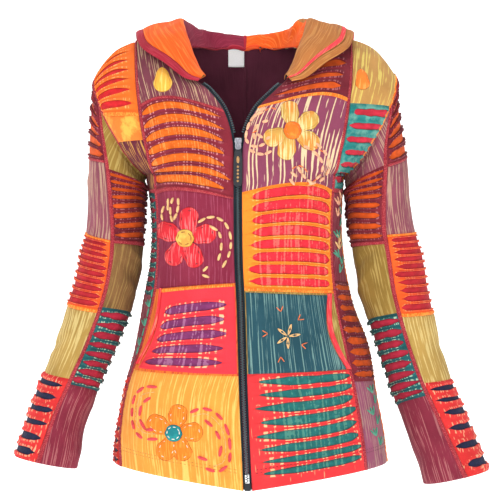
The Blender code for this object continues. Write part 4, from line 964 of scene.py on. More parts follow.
def makeThread(name, color):
    # Embroidery cotton: soft twisted strands, slightly shiny along each stitch
    sheen = {"Sheen Weight": 0.2, "Specular IOR Level": 0.3}
    material, tree, shader = startMaterial(name, color, 0.7, **sheen)
    place = addNode(tree, "ShaderNodeTexCoord").outputs["Object"]
    patches = addNode(tree, "ShaderNodeTexNoise", {"Vector": place, "Scale": 180.0, "Detail": 2.0})
    patches = mapTo(tree, patches.outputs["Fac"], 0.35, 0.6)
    tone = mixColor(tree, patches, dimmed(color, 0.72), paint(color))
    tree.links.new(tone, shader.inputs["Base Color"])
    twist = addNode(tree, "ShaderNodeTexWave", {"Vector": place, "Scale": 330.0, "Distortion": 2.0},
                    bands_direction="DIAGONAL").outputs["Fac"]
    addBump(tree, shader, twist, 0.0003, 0.6)
    return material


threads = {name: makeThread("thread" + name, color) for name, color in (
    ("Cream", "#F2C282"), ("Red", "#E8484C"), ("Pink", "#F6B48C"), ("Green", "#4FA084"), ("White", "#FBF3E4"),
    ("Orange", "#F27A3C"), ("Dark", "#5A1C28"), ("Gold", "#B87A2A"))}
stitchShape, stitchFaces = makeTemplate(bmesh.ops.create_uvsphere, u_segments=6, v_segments=6, radius=1)


def stitchesAlong(path, length, gap, jitter=0.0):
    # both ends of each stitch of a row along a curved path of x and z
    fine = curveAt(path, np.linspace(0, len(path) - 1, len(path) * 16))
    run = np.concatenate(([0], np.cumsum(np.linalg.norm(np.diff(fine, axis=0), axis=1))))
    count = max(1, int(round((run[-1] + gap) / (length + gap))))
    starts = np.linspace(0, run[-1] - length, count) if count > 1 else np.array([0.0])
    if jitter:
        starts = starts + chance.uniform(-jitter, jitter, count)
    ends = starts + length * (1 + (chance.uniform(-0.18, 0.18, count) if jitter else 0))
    return [np.stack([np.interp(at, run, fine[:, axis]) for axis in (0, 1)], -1) for at in (starts, ends)]


def turnedPlace(middle, turn, along, aside=0.0):
    # x and z of a place that is so far along a turned line and aside of it
    way = math.radians(turn)
    return (middle[0] + along * math.cos(way) - aside * math.sin(way),
            middle[1] + along * math.sin(way) + aside * math.cos(way))


def stroke(place, turn, reach, start=0.0):
    return [np.array([turnedPlace(place, turn, along)]) for along in (start, reach)]


def stitchCopies(start, stop, out, wide, high=0.8, plump=True):
    # the stitch template between pairs of points, arched unless it lies flat
    middle, half = (start + stop) / 2, (stop - start) / 2
    side = unit(np.cross(half, out))
    across, up, along = stitchShape.T
    arch = 1 - along ** 2
    across, up = across * wide, up * wide
    if plump:
        across, up = across * (0.6 + 0.4 * arch), up * high + 0.5 * arch
        along = np.sign(along) * np.abs(along) ** 0.55
    return sum(way[:, None] * part[:, None] for way, part in ((half, along), (side, across), (out, up))) \
        + middle[:, None]


def sewStitches(name, panel, ends, wide, thread, lift=0.5):
    # one joined object of plump stitches between pairs of places
    start, stop = (np.concatenate([pair[k] for pair in ends]) for k in (0, 1))
    start, out = surfaceAt(panel, start[:, 0], start[:, 1], lift)
    stop, _ = surfaceAt(panel, stop[:, 0], stop[:, 1], lift)
    joinCopies(name, stitchCopies(start, stop, out, wide), stitchFaces, threads[thread])


# rows of running stitch: panel, thread, half width, length, gap and paths
swirls = {
    "creamSwirl": ("front_center_r", "Cream", 2.3, 11.5, 3.6, [
        [(-66, -258), (-48, -249), (-29, -257), (-20, -278), (-22, -302), (-32, -322)],
        [(-50, -262), (-36, -272), (-33, -293), (-38, -312)],
        [(-52, -320), (-61, -331), (-50, -336)],
        [(-114, -233), (-118, -244), (-116, -256)], [(-101, -222), (-106, -240), (-102, -258)],
        [(-94, -222), (-94, -240), (-101, -255)], [(-108, -222), (-109, -242)]]),
    "redSwirl": ("front_center_r", "Red", 2.7, 15.5, 3.4, [
        [(-124, -493), (-143, -494), (-157, -508), (-160, -530), (-158, -551), (-145, -566), (-122, -566)],
        [(-133, -508), (-146, -519), (-148, -540), (-138, -555), (-124, -552)],
        [(-78, -528), (-59, -521), (-39, -529), (-25, -549), (-21, -574), (-22, -597), (-36, -610),
         (-56, -605)],
        [(-57, -537), (-42, -551), (-33, -572), (-36, -589)], [(-52, -594), (-67, -589)]]),
    "pinkSwirl": ("front_center_l", "Pink", 2.5, 11, 2.4, [
        [(26, -101), (10, -110), (2, -124), (1, -141), (13, -152), (30, -146)],
        [(30, -95), (18, -103), (9, -113)], [(33, -114), (19, -119), (12, -131), (14, -142)],
        [(6, -155), (22, -163), (38, -157)], [(17, -133), (30, -141), (38, -136)],
        [(86, -140), (104, -148), (117, -164), (119, -182), (108, -197), (90, -203)],
        [(83, -149), (98, -158), (109, -170), (109, -184), (100, -196)],
        [(74, -178), (82, -192), (96, -203)], [(64, -186), (76, -196)], [(62, -196), (70, -205)]]),
    "pinkWild": ("front_center_l", "Orange", 1.0, 8, 3.5, [
        [(20, -106), (36, -96), (44, -98)], [(96, -150), (112, -158)], [(66, -182), (78, -176), (88, -186)],
        [(10, -132), (22, -126)], [(84, -206), (98, -198), (108, -188)]]),
    "creamLine": ("front_center_r", "Cream", 0.6, 6, 0.6, [
        [(-127, -500), (-145, -505), (-153, -522), (-153, -545), (-141, -558), (-124, -559)],
        [(-74, -533), (-56, -529), (-40, -539), (-30, -556), (-27, -578), (-30, -596), (-44, -602)]]),
}
for name, (panel, thread, wide, length, gap, paths) in swirls.items():
    sewStitches(name, panel, [stitchesAlong(path, length, gap, 0.8) for path in paths], wide, thread)

# a star of five loops, each way in degrees, and five small arrow marks on the pocket
pocketStar = {"middle": (60, -420), "turns": (74, 8, -88, 214, 142), "reach": 18, "bend": 1.7, "lift": 3.4}
star = []
for turn in pocketStar["turns"]:
    reach = pocketStar["reach"]
    near, tip = (turnedPlace(pocketStar["middle"], turn, along) for along in (1.5, reach))
    for bend in (-pocketStar["bend"], pocketStar["bend"]):
        middle = turnedPlace(pocketStar["middle"], turn, reach * 0.55, bend)
        star += [(np.array([near]), np.array([middle])), (np.array([middle]), np.array([tip]))]
sewStitches("creamStar", "front_center_l", star, 0.95, "Cream", lift=pocketStar["lift"])
arrowMarks = {(50, -385): -80, (74, -397): 215, (32, -416): 0, (79, -432): 165, (50, -449): 95}
arrows = [stroke(place, turn + bend, 9) for place, turn in arrowMarks.items() for bend in (150, 212)]
sewStitches("orangeArrows", "front_center_l", arrows, 0.8, "Orange", lift=pocketStar["lift"])

# leaves down the side fronts, three stitches each: x, z and way
leaves = {
    "greenLeaves": ("front_side_r", "Green", [
        (-127, -366, 60), (-132, -380, 120), (-135, -394, 70), (-139, -408, 110), (-143, -422, 62),
        (-147, -436, 115), (-151, -450, 70)]),
    "greenSpray": ("front_side_l", "Green", [
        (139, -246, 80), (136, -262, 60), (134, -280, 105), (138, -292, 60), (134, -308, 120),
        (138, -318, 80), (135, -330, 65)]),
    "redSpray": ("front_side_l", "Pink", [
        (137, -222, 75), (134, -232, 100), (141, -236, 60), (132, -248, 80)]),
    "goldLeaf": ("front_side_l", "Cream", [(136, -286, 85), (135, -296, 95)]),
    "hemLeaves": ("front_side_l", "Green", [
        (183, -505, 110), (186, -520, 70), (184, -536, 115), (190, -550, 75), (188, -566, 110),
        (194, -580, 80)]),
}
leafLong, leafWide = 13, 1.6
for name, (panel, thread, marks) in leaves.items():
    rows = [stroke((x, z), turn + bend, leafLong) for x, z, turn in marks for bend in (-24, 0, 24)]
    sewStitches(name, panel, rows, leafWide, thread)
print("embroidery made")


petalShape, petalFaces = makeTemplate(bmesh.ops.create_grid, x_segments=16, y_segments=20, size=1)


def makeApplique(name, panel, parts, look, lift=0.0, rise=1.5, groove=0.5):
    # puffed cloth shapes sewn down; each part is middle, way, reach, half width
    # and how much wider its far end is
    a, b = petalShape[:, 0], petalShape[:, 1]
    x, y = a * np.sqrt(1 - b * b / 2), b * np.sqrt(1 - a * a / 2)
    inward = 1 - np.maximum(np.abs(a), np.abs(b))
    puff = smooth(0, 0.16, inward) * 1.1 + rise * smooth(0.2, 0.75, inward) \
        - groove * np.exp(-((inward - 0.24) / 0.07) ** 2)
    copies, flats = [], []
    for middle, turn, reach, half, egg in parts:
        wide = x * half * (1 + egg * y) * (1 + 0.05 * np.sin(7 * y + turn))
        flats.append(np.stack(turnedPlace(middle, turn, y * reach, wide), -1))
        copies.append(surfaceAt(panel, flats[-1][:, 0], flats[-1][:, 1], lift - 0.5 + puff)[0])
    flats = np.array(flats)
    # painted shade round each shape's rim and in its sewn groove, carried by the edge attribute
    edges = -0.9 * smooth(0.07, 0.0, inward) - 0.5 * np.exp(-((inward - 0.24) / 0.05) ** 2)
    piece = joinCopies("cloth_" + name, np.array(copies), petalFaces, cloths[look], flats=flats, edges=edges)
    thicken(piece, 0.7)
    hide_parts(name)
    wide, tall = np.ptp(flats.reshape(-1, 2), axis=0) * mm


# petal ways in degrees and sizes in mm; the ring is the centre's stitches, with
# their thread, half width and length
flowers = {
    "flower_red": dict(panel="front_center_r", middle=(-84, -280), look="petalRed", disc="discYellow",
                       turns=(80, 12, -66, 238, 160), reach=45, half=13.5, egg=0.12, center=12.5,
                       dashes="Dark", ring=("Gold", 1.0, 6.5)),
    "flower_orange": dict(panel="front_center_r", middle=(-100, -557), look="petalOrange", disc="discTeal",
                          turns=(78, 5, -65, 246, 153), reach=41, half=13, egg=0.15, center=11.5,
                          dashes="White", ring=("White", 0.75, 4.5)),
    "flower_tan": dict(panel="front_center_l", middle=(67, -128), look="petalTan", disc="discOrange",
                       turns=(97, 32, -30, 253, 200), reach=43, half=12.6, egg=0.2, center=12.2,
                       ring=("Orange", 0.6, 4.5)),
}
petalNear = 7       # from the flower's middle to its petals
for name, flower in flowers.items():
    panel, middle, center = flower["panel"], flower["middle"], flower["center"]
    half = (flower["reach"] - petalNear) / 2
    petals = [(turnedPlace(middle, turn, petalNear + half), turn, half, flower["half"], flower["egg"])
              for turn in flower["turns"]]
    makeApplique(name, panel, petals, flower["look"])
    makeApplique(name + "_center", panel, [(middle, 90, center, center, 0.0)], flower["disc"],
                 lift=1.8, rise=1.2, groove=0.2)
    if "dashes" in flower:
        ring = np.radians(np.linspace(-140, 140, 9))
        rows = [stitchesAlong(np.stack(turnedPlace(place, turn, np.cos(ring) * half * 0.74,
                                                   np.sin(ring) * wide * 0.72), -1), 4.2, 4.6, 0.6)
                for place, turn, half, wide, egg in petals]
        sewStitches(name + "Dashes", panel, rows, 0.55, flower["dashes"], lift=1.0)
    ring = np.radians(np.linspace(0, 360, 13)) + 0.3
    path = np.array(middle) + np.stack((np.cos(ring), np.sin(ring)), -1) * center * 0.76
    thread, wide, length = flower["ring"]
    sewStitches(name + "CenterStitches", panel, [stitchesAlong(path, length, 3.2)], wide, thread, lift=3.0)
makeApplique("teardrop_r", "front_center_r", [((-118, -53), 276, 19, 12, 0.42)], "dropYellow")
makeApplique("teardrop_l", "front_side_l", [((168, -52), 275, 15.5, 9.5, 0.36)], "dropOrange")
print("appliques made")


def hemRow(panel, height):
    # flat stitches at one height over a panel's lower edge
    u = np.linspace(0.02, 0.975, max(8, int(panelWidth(panel) / 3.6)))
    ends = []
    for shift in (0.0, 0.62):
        at = u[:-1] + (u[1] - u[0]) * shift
        v = rowAtHeight(panel, plainPoint(panel, 0.0, at)[..., 2] + height, at)
        ends.append(panelPoint(panel, v, at, flatTop + lumps(panel, v, at) + 0.15))
    return stitchCopies(*ends, panelNormal(panel, v, at), 0.42, plump=False)


hemColumns = {"Dark": ("front_center_l", "front_side_r", "front_side_l", "back_center_r", "back_center_l",
                       "back_side_r", "back_side_l"), "Gold": ("front_center_r",)}
for thread, columns in hemColumns.items():
    rows = [hemRow(panel, height) for panel in columns for height in (24.0, 28.5)]
    joinCopies("hemStitches" + thread, np.concatenate(rows), stitchFaces, threads[thread])


def makePocket(name, panel, bottom, top, mouth, patch, pitch=2.4, lift=2.3):
    # a pocket laid on a centre front, with its mouth at the far side
    width = panelWidth(panel)
    t = np.linspace(0, 1, int(width * np.mean(mouth) / pitch))
    t = np.concatenate(([0, 0.006], t[1:-1], [0.994, 1]))
    low, high = (start + (end - start) * t for start, end in (bottom, top))
    place, height, cut, edge, isBand = patchRows(patch, high - low, t)
    share = place / (high - low)
    u = 0.004 + (curveAt(mouth, share * (len(mouth) - 1)) - 0.004) * t
    v = rowAtHeight(panel, low + (high - low) * share, u)
    away = np.minimum(np.minimum(t, 1 - t) * width * 0.9, np.minimum(place, (high - low) - place))
    rounded = smooth(0, 1.8, away)
    height = 1.3 + (height + lift - 1.3) * rounded + lumps(panel, v, u) * smooth(0, 1, rounded)
    looks = []
    zones = np.repeat(np.array(patchZones(patch, isBand, looks)[1:])[:, None], len(t) - 1, 1)
    middle = len(v) // 2, len(t) // 2
    base = plainPoint(panel, v, u)
    outward = panelNormal(panel, v[middle], u[middle])
    piece = clothGrid("cloth_" + name, panelPoint(panel, v, u, height), outward, looks, ["inside"],
                      thickness=0.9, cut=cut, edge=edge, zones=zones, flat=(u * width, base[..., 2]))
    declareSheet(name)


def makeBinding(name, panel, bottom, top, mouth, wide, look, rise=3.9):
    # a rounded strip folded over the pocket's mouth
    rows, t = np.linspace(0, 1, 64), np.linspace(0, 1, 12)
    share = rows[:, None] + 0 * t
    u = curveAt(mouth, share * (len(mouth) - 1)) + (t - 0.5) * wide
    v = rowAtHeight(panel, bottom + (top - bottom) * share, np.clip(u, 0, 1))
    seam = 0.35 * np.exp(-((t - 0.25) / 0.06) ** 2)
    height = 1.6 + rise * np.sin(np.pi * t) ** 0.6 - seam
    height = height + 0.25 * softNoise(share * 30, t * 3 + 0 * share, 61)
    points = panelPoint(panel, v, np.clip(u, 0, 1), height + lumps(panel, v, u))
    outward = panelNormal(panel, v[32, 6], u[32, 6])
    piece = clothGrid("cloth_" + name, points, outward, [look], [look], thickness=0.8)
    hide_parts(name)


# each pocket: height of its lower and upper edge at the zip and at the mouth,
# and the mouth's place across its panel from the bottom up
makePocket("pocket_r", "front_center_r", (-474, -468), (-344, -352), [0.86, 0.80, 0.78, 0.80, 0.82],
           dict(look="redPurple", slits=5, open=6.8, span=(0.08, 0.9), sweep=-11, seed=62, full=0.5,
                high="orangeBand", most=0.62, above=14, below=3.6))
makePocket("pocket_l", "front_center_l", (-473, -468), (-357, -362), [0.92, 0.82, 0.77, 0.79, 0.85],
           dict(look="tealStreak"), pitch=4)
makeBinding("pocket_binding_r", "front_center_r", -462, -352,
            [0.90, 0.83, 0.81, 0.82, 0.84], 0.05, "redPocket")
makeBinding("pocket_binding_l", "front_center_l", -468, -360,
            [0.955, 0.86, 0.81, 0.83, 0.885], 0.075, "binding")
print("pockets made")


# The lowered hood's right half from the centre back (row 0) over the shoulder
# (row 5) to the zip's top (row 9): along its roll, its fall, its lowest line
# and its face edge
hoodRows = {
    "roll": [(0, 76, 20), (28, 72, 23), (52, 58, 27), (68, 46, 32), (82, 26, 37), (91, 0, 40),
             (86, -28, 20), (77, -50, -5), (66, -69, -34), (57, -80, -48)],
    "fall": [(0, 120, -60), (44, 119, -50), (84, 108, -26), (100, 84, 6), (110, 50, 28), (112, 4, 38),
             (106, -34, 22), (90, -59, -3), (73, -76, -32), (59, -84, -46)],
    "low": [(0, 148, -235), (60, 145, -200), (106, 136, -130), (128, 112, -42), (138, 66, 10), (136, 2, 33),
            (128, -42, 14), (104, -66, -12), (80, -82, -40), (62, -88, -50)],
    "edge": [(0, 176, -80), (68, 168, -68), (120, 142, -40), (148, 104, -14), (160, 52, 10), (160, -2, 22),
             (150, -50, -4), (116, -72, -28), (88, -87, -50), (67, -91, -56)],
}
hoodBandWide = 12.0
# folds of each half, as on the panels: row, track, reach each way, slope, depth
hoodFolds = {
    "r": [(4.3, 2.0, 0.5, 1.6, 0.25, 2.2), (5.4, 2.2, 0.45, 1.5, 0.3, -2.6), (6.3, 2.0, 0.4, 1.6, 0.2, 1.8),
          (7.4, 1.8, 0.5, 1.4, 0.2, -1.4), (3.2, 1.2, 0.5, 0.9, 0.2, -2.0), (1.4, 0.5, 0.8, 0.5, 0.3, 1.4),
          (1.0, 1.8, 0.5, 1.0, 0.4, -6), (2.2, 2.4, 0.5, 0.9, 0.3, 6), (0.3, 3.0, 0.6, 0.8, 0.0, -5)],
    "l": [(4.0, 1.3, 0.42, 1.5, 0.3, 7.0), (4.75, 1.6, 0.34, 1.4, 0.35, -6.0), (5.5, 2.0, 0.4, 1.4, 0.3, 3.0),
          (6.4, 2.1, 0.4, 1.4, 0.2, -2.0), (7.3, 1.7, 0.45, 1.3, 0.2, 1.6), (3.4, 0.9, 0.5, 0.7, 0.1, 2.5),
          (1.5, 0.5, 0.8, 0.5, 0.3, -1.4), (0.8, 1.9, 0.5, 1.0, 0.4, 5), (2.0, 2.5, 0.6, 0.9, 0.3, -6)],
}
shoulderRow, zipRow, lastTrack = 5, 9, 4


def neckEdge(side, s):
    # the neck seam from the centre back to the zip's top, and the way off it
    point, off = np.zeros((len(s), 3)), np.zeros((len(s), 3))
    behind = s <= shoulderRow
    rise = topRow - neckRow
    for panel, here, v in (
            ("back_center_", behind, neckRow + rise * s / shoulderRow),
            ("front_center_", ~behind, neckRow + rise * (1 - (s - shoulderRow) / (zipRow - shoulderRow)))):
        panel, v = panel + side, np.clip(v[here], 0, topRow)
        zero = 0 * v
        normal = panelNormal(panel, v, zero)
        along = plainPoint(panel, np.minimum(v + 0.05, topRow), zero) - plainPoint(panel, v - 0.05, zero)
        away = unit(np.cross(along, normal))
        inner = plainPoint(panel, v, zero + 0.1) - plainPoint(panel, v, zero)
        off[here] = np.where((np.sum(away * inner, -1) > 0)[:, None], -away, away)
        point[here] = plainPoint(panel, v, zero) + normal * 1.1
    return point, off


def hoodGrid(side, s, t):
    # the hood's middle surface on rows s, with t a row of tracks for each
    edge, off = neckEdge(side, s)
    tracks = [edge + off * (1.6 + 0.2 * np.clip((s - shoulderRow) / 4, 0, 1))[:, None]]
    mirror = (sideSign[side], 1, 1)
    tracks += [curveAt(hoodRows[track], s) * mirror for track in ("roll", "fall", "low", "edge")]
    tracks = np.array(tracks)
    return np.stack([curveAt(tracks[:, row], t[row]) for row in range(len(s))])


def hoodSurface(side, s, t, reach):
    # places a reach off the folded hood, and the way out there
    byT = hoodGrid(side, s, np.minimum(t + 0.03, lastTrack)) - hoodGrid(side, s, np.maximum(t - 0.03, 0))
    byS = hoodGrid(side, np.minimum(s + 0.03, zipRow), t) - hoodGrid(side, np.maximum(s - 0.03, 0), t)
    normal = unit(np.cross(byS, byT)) * sideSign[side]
    rows = np.broadcast_to(s[:, None], t.shape)
    depth = foldBumps(hoodFolds[side], rows, t) + 0.5 * softNoise(rows * 2.6, t * 2.2, 71) * smooth(0, 0.6, t)
    calm = smooth(0, 0.35, t) * (1 - 0.6 * smooth(3.5, lastTrack, t)) * smooth(zipRow, 8, rows)
    points = hoodGrid(side, s, t) + normal * (depth * calm + reach)[..., None]
    points[s < 0.001, :, 0] = sideSign[side] * 0.05
    return points, normal


def bandStart(side, s):
    # track where the hem band begins
    ends = hoodGrid(side, s, np.tile((3.0, 4.0), (len(s), 1)))
    return lastTrack - np.minimum(0.7, hoodBandWide / np.linalg.norm(ends[:, 1] - ends[:, 0], axis=-1))


# linings seen inside the roll and on the turned lapel, the hood's outside, and
# the hem band behind and in front
hoodLooks = {
    "r": (["hoodMaroon", "hoodOrange", "hoodMaroon", "hoodOrange"],
          ["maroonRose", "oliveStripe", "hoodNavy", "orangeCrimson"], ["hoodBand", "hoodBand"]),
    "l": (["hoodOrange", "hoodTan", "hoodOrange", "hoodTan", "binding"],
          ["tealDye", "hoodNavy", "mauveStreak", "maroonPlain", "maroonPlain"], ["redBand", "hoodTan"]),
}
s = np.sort(np.concatenate((np.linspace(0, zipRow, 118), [3.62, 3.68])))
for side, (linings, outers, bands) in hoodLooks.items():
    start = bandStart(side, s)
    share = np.linspace(0, 1, 78)
    t = share[None] * (start - 0.006)[:, None]
    near = (start - 0.006)[:, None] - t
    reach = 0.65 + 0 * t
    lapel = ((s[:, None] > 3.3) & (t > 0.93)) | (s[:, None] > 5.4)
    zones = lapel[:-1, :-1] + 2 * (share[None, :-1] > 0.55)
    if side == "l":         # the lapel's narrow stripe with its raised edge
        reach = reach + 0.7 * np.exp(-((near - 0.18) / 0.09) ** 2) * smooth(4.6, 5.2, s)[:, None]
        stripe = (near[:-1, :-1] > 0.08) & (near[:-1, :-1] < 0.30) & (s[:-1, None] > 4.9)
        zones = np.where(stripe, linings.index("binding"), zones)
    points, normal = hoodSurface(side, s, t, reach)
    piece = clothGrid("cloth_hood_" + side, points, normal[len(s) // 2, 39], linings, outers, zones=zones)
    declareSheet("hood_" + side)

    share = np.linspace(0, 1, 13)
    t = start[:, None] - 0.004 + (lastTrack + 0.004 - start[:, None]) * share[None]
    seam = 0.5 * np.exp(-((share - 0.2) / 0.07) ** 2)[None]
    reach = -0.6 + 2.0 * np.sin(np.pi * share[None]) ** 0.5 - seam
    reach = reach + 0.25 * softNoise(np.broadcast_to(s[:, None] * 9, t.shape), t * 4, 72)
    points, normal = hoodSurface(side, s, t, reach)
    zones = np.broadcast_to((s[:-1, None] > 5.05).astype(int), (len(s) - 1, len(share) - 1))
    piece = clothGrid("cloth_hood_hem_" + side, points, normal[len(s) // 2, 6], bands, ["band", "band"],
                      thickness=1.8, zones=zones)
    declareSheet("hood_hem_" + side)


def makeStrip(name, middles, sideways, out, wide, thick, looks, splitAt=None):
    # a narrow rounded binding along a line of places
    t = np.linspace(-1, 1, 9)
    lift = thick * np.sqrt(np.clip(1 - t ** 2, 0, 1)) ** 1.2
    points = (middles[:, None] + sideways[:, None] * (t * wide / 2)[:, None] + out[:, None] * lift[:, None])
    rows = np.arange(len(middles) - 1) >= (splitAt or len(middles))
    zones = np.broadcast_to(rows.astype(int)[:, None], (len(rows), len(t) - 1))
    piece = clothGrid("cloth_" + name, points, out[len(out) // 2], looks, looks[-1:],
                      thickness=0.7, zones=zones)
    declareSheet()


# binding over the neck seam inside, and seam tapes down the centre back
run = []
for side, s in (("r", np.linspace(8.6, 0.0, 56)), ("l", np.linspace(0.0, 8.6, 56)[1:])):
    edge, off = neckEdge(side, s)
    inward = unit(np.stack((0 * s, 0 * s + 10, edge[:, 2]), -1) - edge)
    inward = unit(inward - off * np.sum(inward * off, -1, keepdims=True))
    run.append((edge + inward * 4.6 + off * 2.0, off, inward))
middles, offs, inwards = (np.concatenate([part[k] for part in run]) for k in range(3))
makeStrip("neck_binding", middles, offs, inwards, 7.0, 1.2, ["hoodBand", "hoodOrangeRed"], splitAt=55)


def makeMiddleSeam(name, middles, wide, thick, look, lift=0.0):
    # a tape along the jacket's middle line, on the side that its first end faces
    across = np.tile((1.0, 0, 0), (len(middles), 1))
    out = unit(np.cross(across, unit(np.gradient(middles, axis=0))))
    out = -out if out[0, 1] > 0 else out
    makeStrip(name, middles + out * lift, across, out, wide, thick, [look])


row = rowAt(bodyRows, bodyFields, np.linspace(0.1, neckRow, 90))
backLine = np.stack((0 * row["backY"], row["backY"] - 0.6, row["backZ"]), -1)
makeMiddleSeam("back_tape", backLine, 6.0, 0.8, "inside")
hoodLine = hoodGrid("l", np.array([0.0]), np.linspace(0.02, 3.98, 70)[None])[0] * (0, 1, 1)
makeMiddleSeam("hood_seam", hoodLine, 6.0, 1.5, "hoodBand", lift=0.5)
print("hood made")


def zipFrames(side, v):
    # the front edge of a panel, or the middle of both: place, along, off, out
    found = []
    for each in ("r", "l") if side == "middle" else (side,):
        panel = "front_center_" + each
        zero = 0 * v
        point, out = plainPoint(panel, v, zero), panelNormal(panel, v, zero)
        along = unit(plainPoint(panel, np.minimum(v + 0.05, topRow), zero)
                     - plainPoint(panel, np.maximum(v - 0.05, 0), zero))
        off = unit(np.cross(along, out))
        toward = plainPoint(panel, v, zero + 0.1) - point
        found.append([point, along, np.where((np.sum(off * toward, -1) > 0)[:, None], -off, off), out])
    if side != "middle":
        return found[0]
    point, along, out = ((found[0][k] + found[1][k]) / 2 for k in (0, 1, 3))
    return [point, unit(along), np.tile((1.0, 0, 0), (len(v), 1)), unit(out)]


# heights of the slider's middle and the box's top, half the slider's length, the
# pull's length, how far the hinge stands off, the last row of the open chains,
# and how far apart the teeth are, closed and open
zipParts = {"slider": -146.0, "boxTop": -626.0, "halfSlider": 7.8, "pullLong": 52.0, "hingeOff": 5.3,
            "topEnd": 10.7, "chainPitch": 1.75, "coilPitch": 3.3}


def zipRowAt(z):
    return float(rowAtHeight("front_center_r", z, 0.0))


def evenRows(side, low, high, pitch):
    # rows an even distance apart along the zip
    v = np.linspace(low, high, 400)
    run = np.concatenate(([0], np.cumsum(np.linalg.norm(np.diff(zipFrames(side, v)[0], axis=0), axis=1))))
    return np.interp(np.arange(pitch / 2, run[-1], pitch), run, v)


def makeZipMaterial(name, color, metallic, roughness, coat=0.0):
    # Zip parts: moulded dark resin, zinc alloy, soft rubber or paint, unevenly worn
    material, tree, shader = startMaterial(name, color, roughness, Metallic=metallic, **{"Coat Weight": coat})
    place = addNode(tree, "ShaderNodeTexCoord").outputs["Object"]
    wear = addNode(tree, "ShaderNodeTexNoise", {"Vector": place, "Scale": 260.0, "Detail": 4.0})
    wear = wear.outputs["Fac"]
    tone = mixColor(tree, mapTo(tree, wear, 0.35, 0.65), dimmed(color, 0.7), paint(color))
    tree.links.new(tone, shader.inputs["Base Color"])
    addBump(tree, shader, wear, 0.0002, 0.35)
    return material


resin = makeZipMaterial("resinTeeth", "#3E5258", 0.0, 0.35, 0.3)
metal = makeZipMaterial("zincAlloy", "#92929A", 1.0, 0.34)
rubber = makeZipMaterial("softRubber", "#12161F", 0.0, 0.6)
markPaint = makeZipMaterial("pullMarks", "#B88850", 0.0, 0.5)
toothShape, toothFaces = makeTemplate(bmesh.ops.create_cube, size=2)


def roundEdges(piece, width, segments, **settings):
    soft = piece.modifiers.new("Edges", "BEVEL")
    soft.width, soft.segments = width * mm, segments
    for key, value in settings.items():
        setattr(soft, key, value)


def makeTeeth(name, side, v, shift, wide, node):
    # moulded teeth across the tape's edge, one template copied along the zip
    point, along, off, out = zipFrames(side, v)
    x, y, z = toothShape.T
    taper = 1 - 0.22 * (y > 0)
    copies = (point[:, None] + off[:, None] * (shift[:, None, None] + (x * taper * wide / 2)[:, None])
              + along[:, None] * (z * taper * 0.85)[:, None] + out[:, None] * (0.7 + y * 1.1)[:, None])
    piece = joinCopies(name, copies, toothFaces, resin)
    roundEdges(piece, 0.28, 2)
    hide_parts(node)


for side in "rl":
    point, along, off, out = zipFrames(side, np.linspace(0.03, 10.75, 150))
    points = point[:, None] + off[:, None] * np.linspace(-5.0, 3.3, 9)[:, None] + out[:, None] * -0.75
    piece = clothGrid("cloth_zip_tape_" + side, points, out[75], ["zipTape"], ["zipTape"], thickness=0.9)
    declareSheet("zip_tape_" + side)
    v = evenRows(side, zipRowAt(zipParts["slider"] + zipParts["halfSlider"]) + 0.12, zipParts["topEnd"],
                 zipParts["coilPitch"])
    makeTeeth("zipCoil" + side.upper(), side, v, np.full(len(v), 4.8), 3.2, "zip_coil_" + side)
boxRow = zipRowAt(zipParts["boxTop"])
sliderRow = zipRowAt(zipParts["slider"] - zipParts["halfSlider"])
v = evenRows("middle", boxRow + 0.01, sliderRow, zipParts["chainPitch"])
makeTeeth("zipChain", "middle", v, np.where(np.arange(len(v)) % 2 == 0, -0.9, 0.9), 3.4, "zip_chain")

# slider and pull stand upright about the pull's hinge
top, low = zipFrames("middle", np.array([zipRowAt(zipParts["slider"]),
                                         zipRowAt(zipParts["slider"] - zipParts["pullLong"])]))[0]
upWay = unit(top - low)
outWay = unit(np.cross((1.0, 0, 0), upWay))
outWay = outWay if outWay[1] < 0 else -outWay
hinge = top + outWay * zipParts["hingeOff"]


def atHinge(x, out, up):
    return hinge + np.stack(np.broadcast_arrays(x, 0, 0), -1) + np.multiply.outer(out, outWay) \
        + np.multiply.outer(up, upWay)


def makePlate(name, outline, low, high, material, node=None, body="jacket", hole=None,
              bevel=0.35):
    # an outline across and up, drawn out into a plate; with a hole it is a ring
    builder = bmesh.new()
    edges = []
    for loop in (outline, hole) if hole else (outline,):
        spots = [builder.verts.new(atHinge(x, low, up) * mm) for x, up in loop]
        edges += [builder.edges.new((spots[k - 1], spots[k])) for k in range(len(spots))]
    if hole:
        faces = bmesh.ops.bridge_loops(builder, edges=edges)["faces"]
    else:
        faces = [builder.faces.new(spots)]
    drawn = bmesh.ops.extrude_face_region(builder, geom=faces)["geom"]
    moved = [part for part in drawn if isinstance(part, bmesh.types.BMVert)]
    bmesh.ops.translate(builder, vec=outWay * (high - low) * mm, verts=moved)
    bmesh.ops.recalc_face_normals(builder, faces=builder.faces[:])
    piece = addPiece(name, meshFrom(builder, name), [material], body)
    roundEdges(piece, bevel, 3, harden_normals=True)
    if node:
        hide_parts(node)


def mirrored(points):
    return points + [(-x, z) for x, z in points[::-1]]


def oval(wide, tall, middle, power, count=32):
    turn = np.linspace(0, 2 * np.pi, count, endpoint=False)
    across, up = (np.sign(way) * np.abs(way) ** power for way in (np.cos(turn), np.sin(turn)))
    return list(zip(wide * across, middle + tall * up))


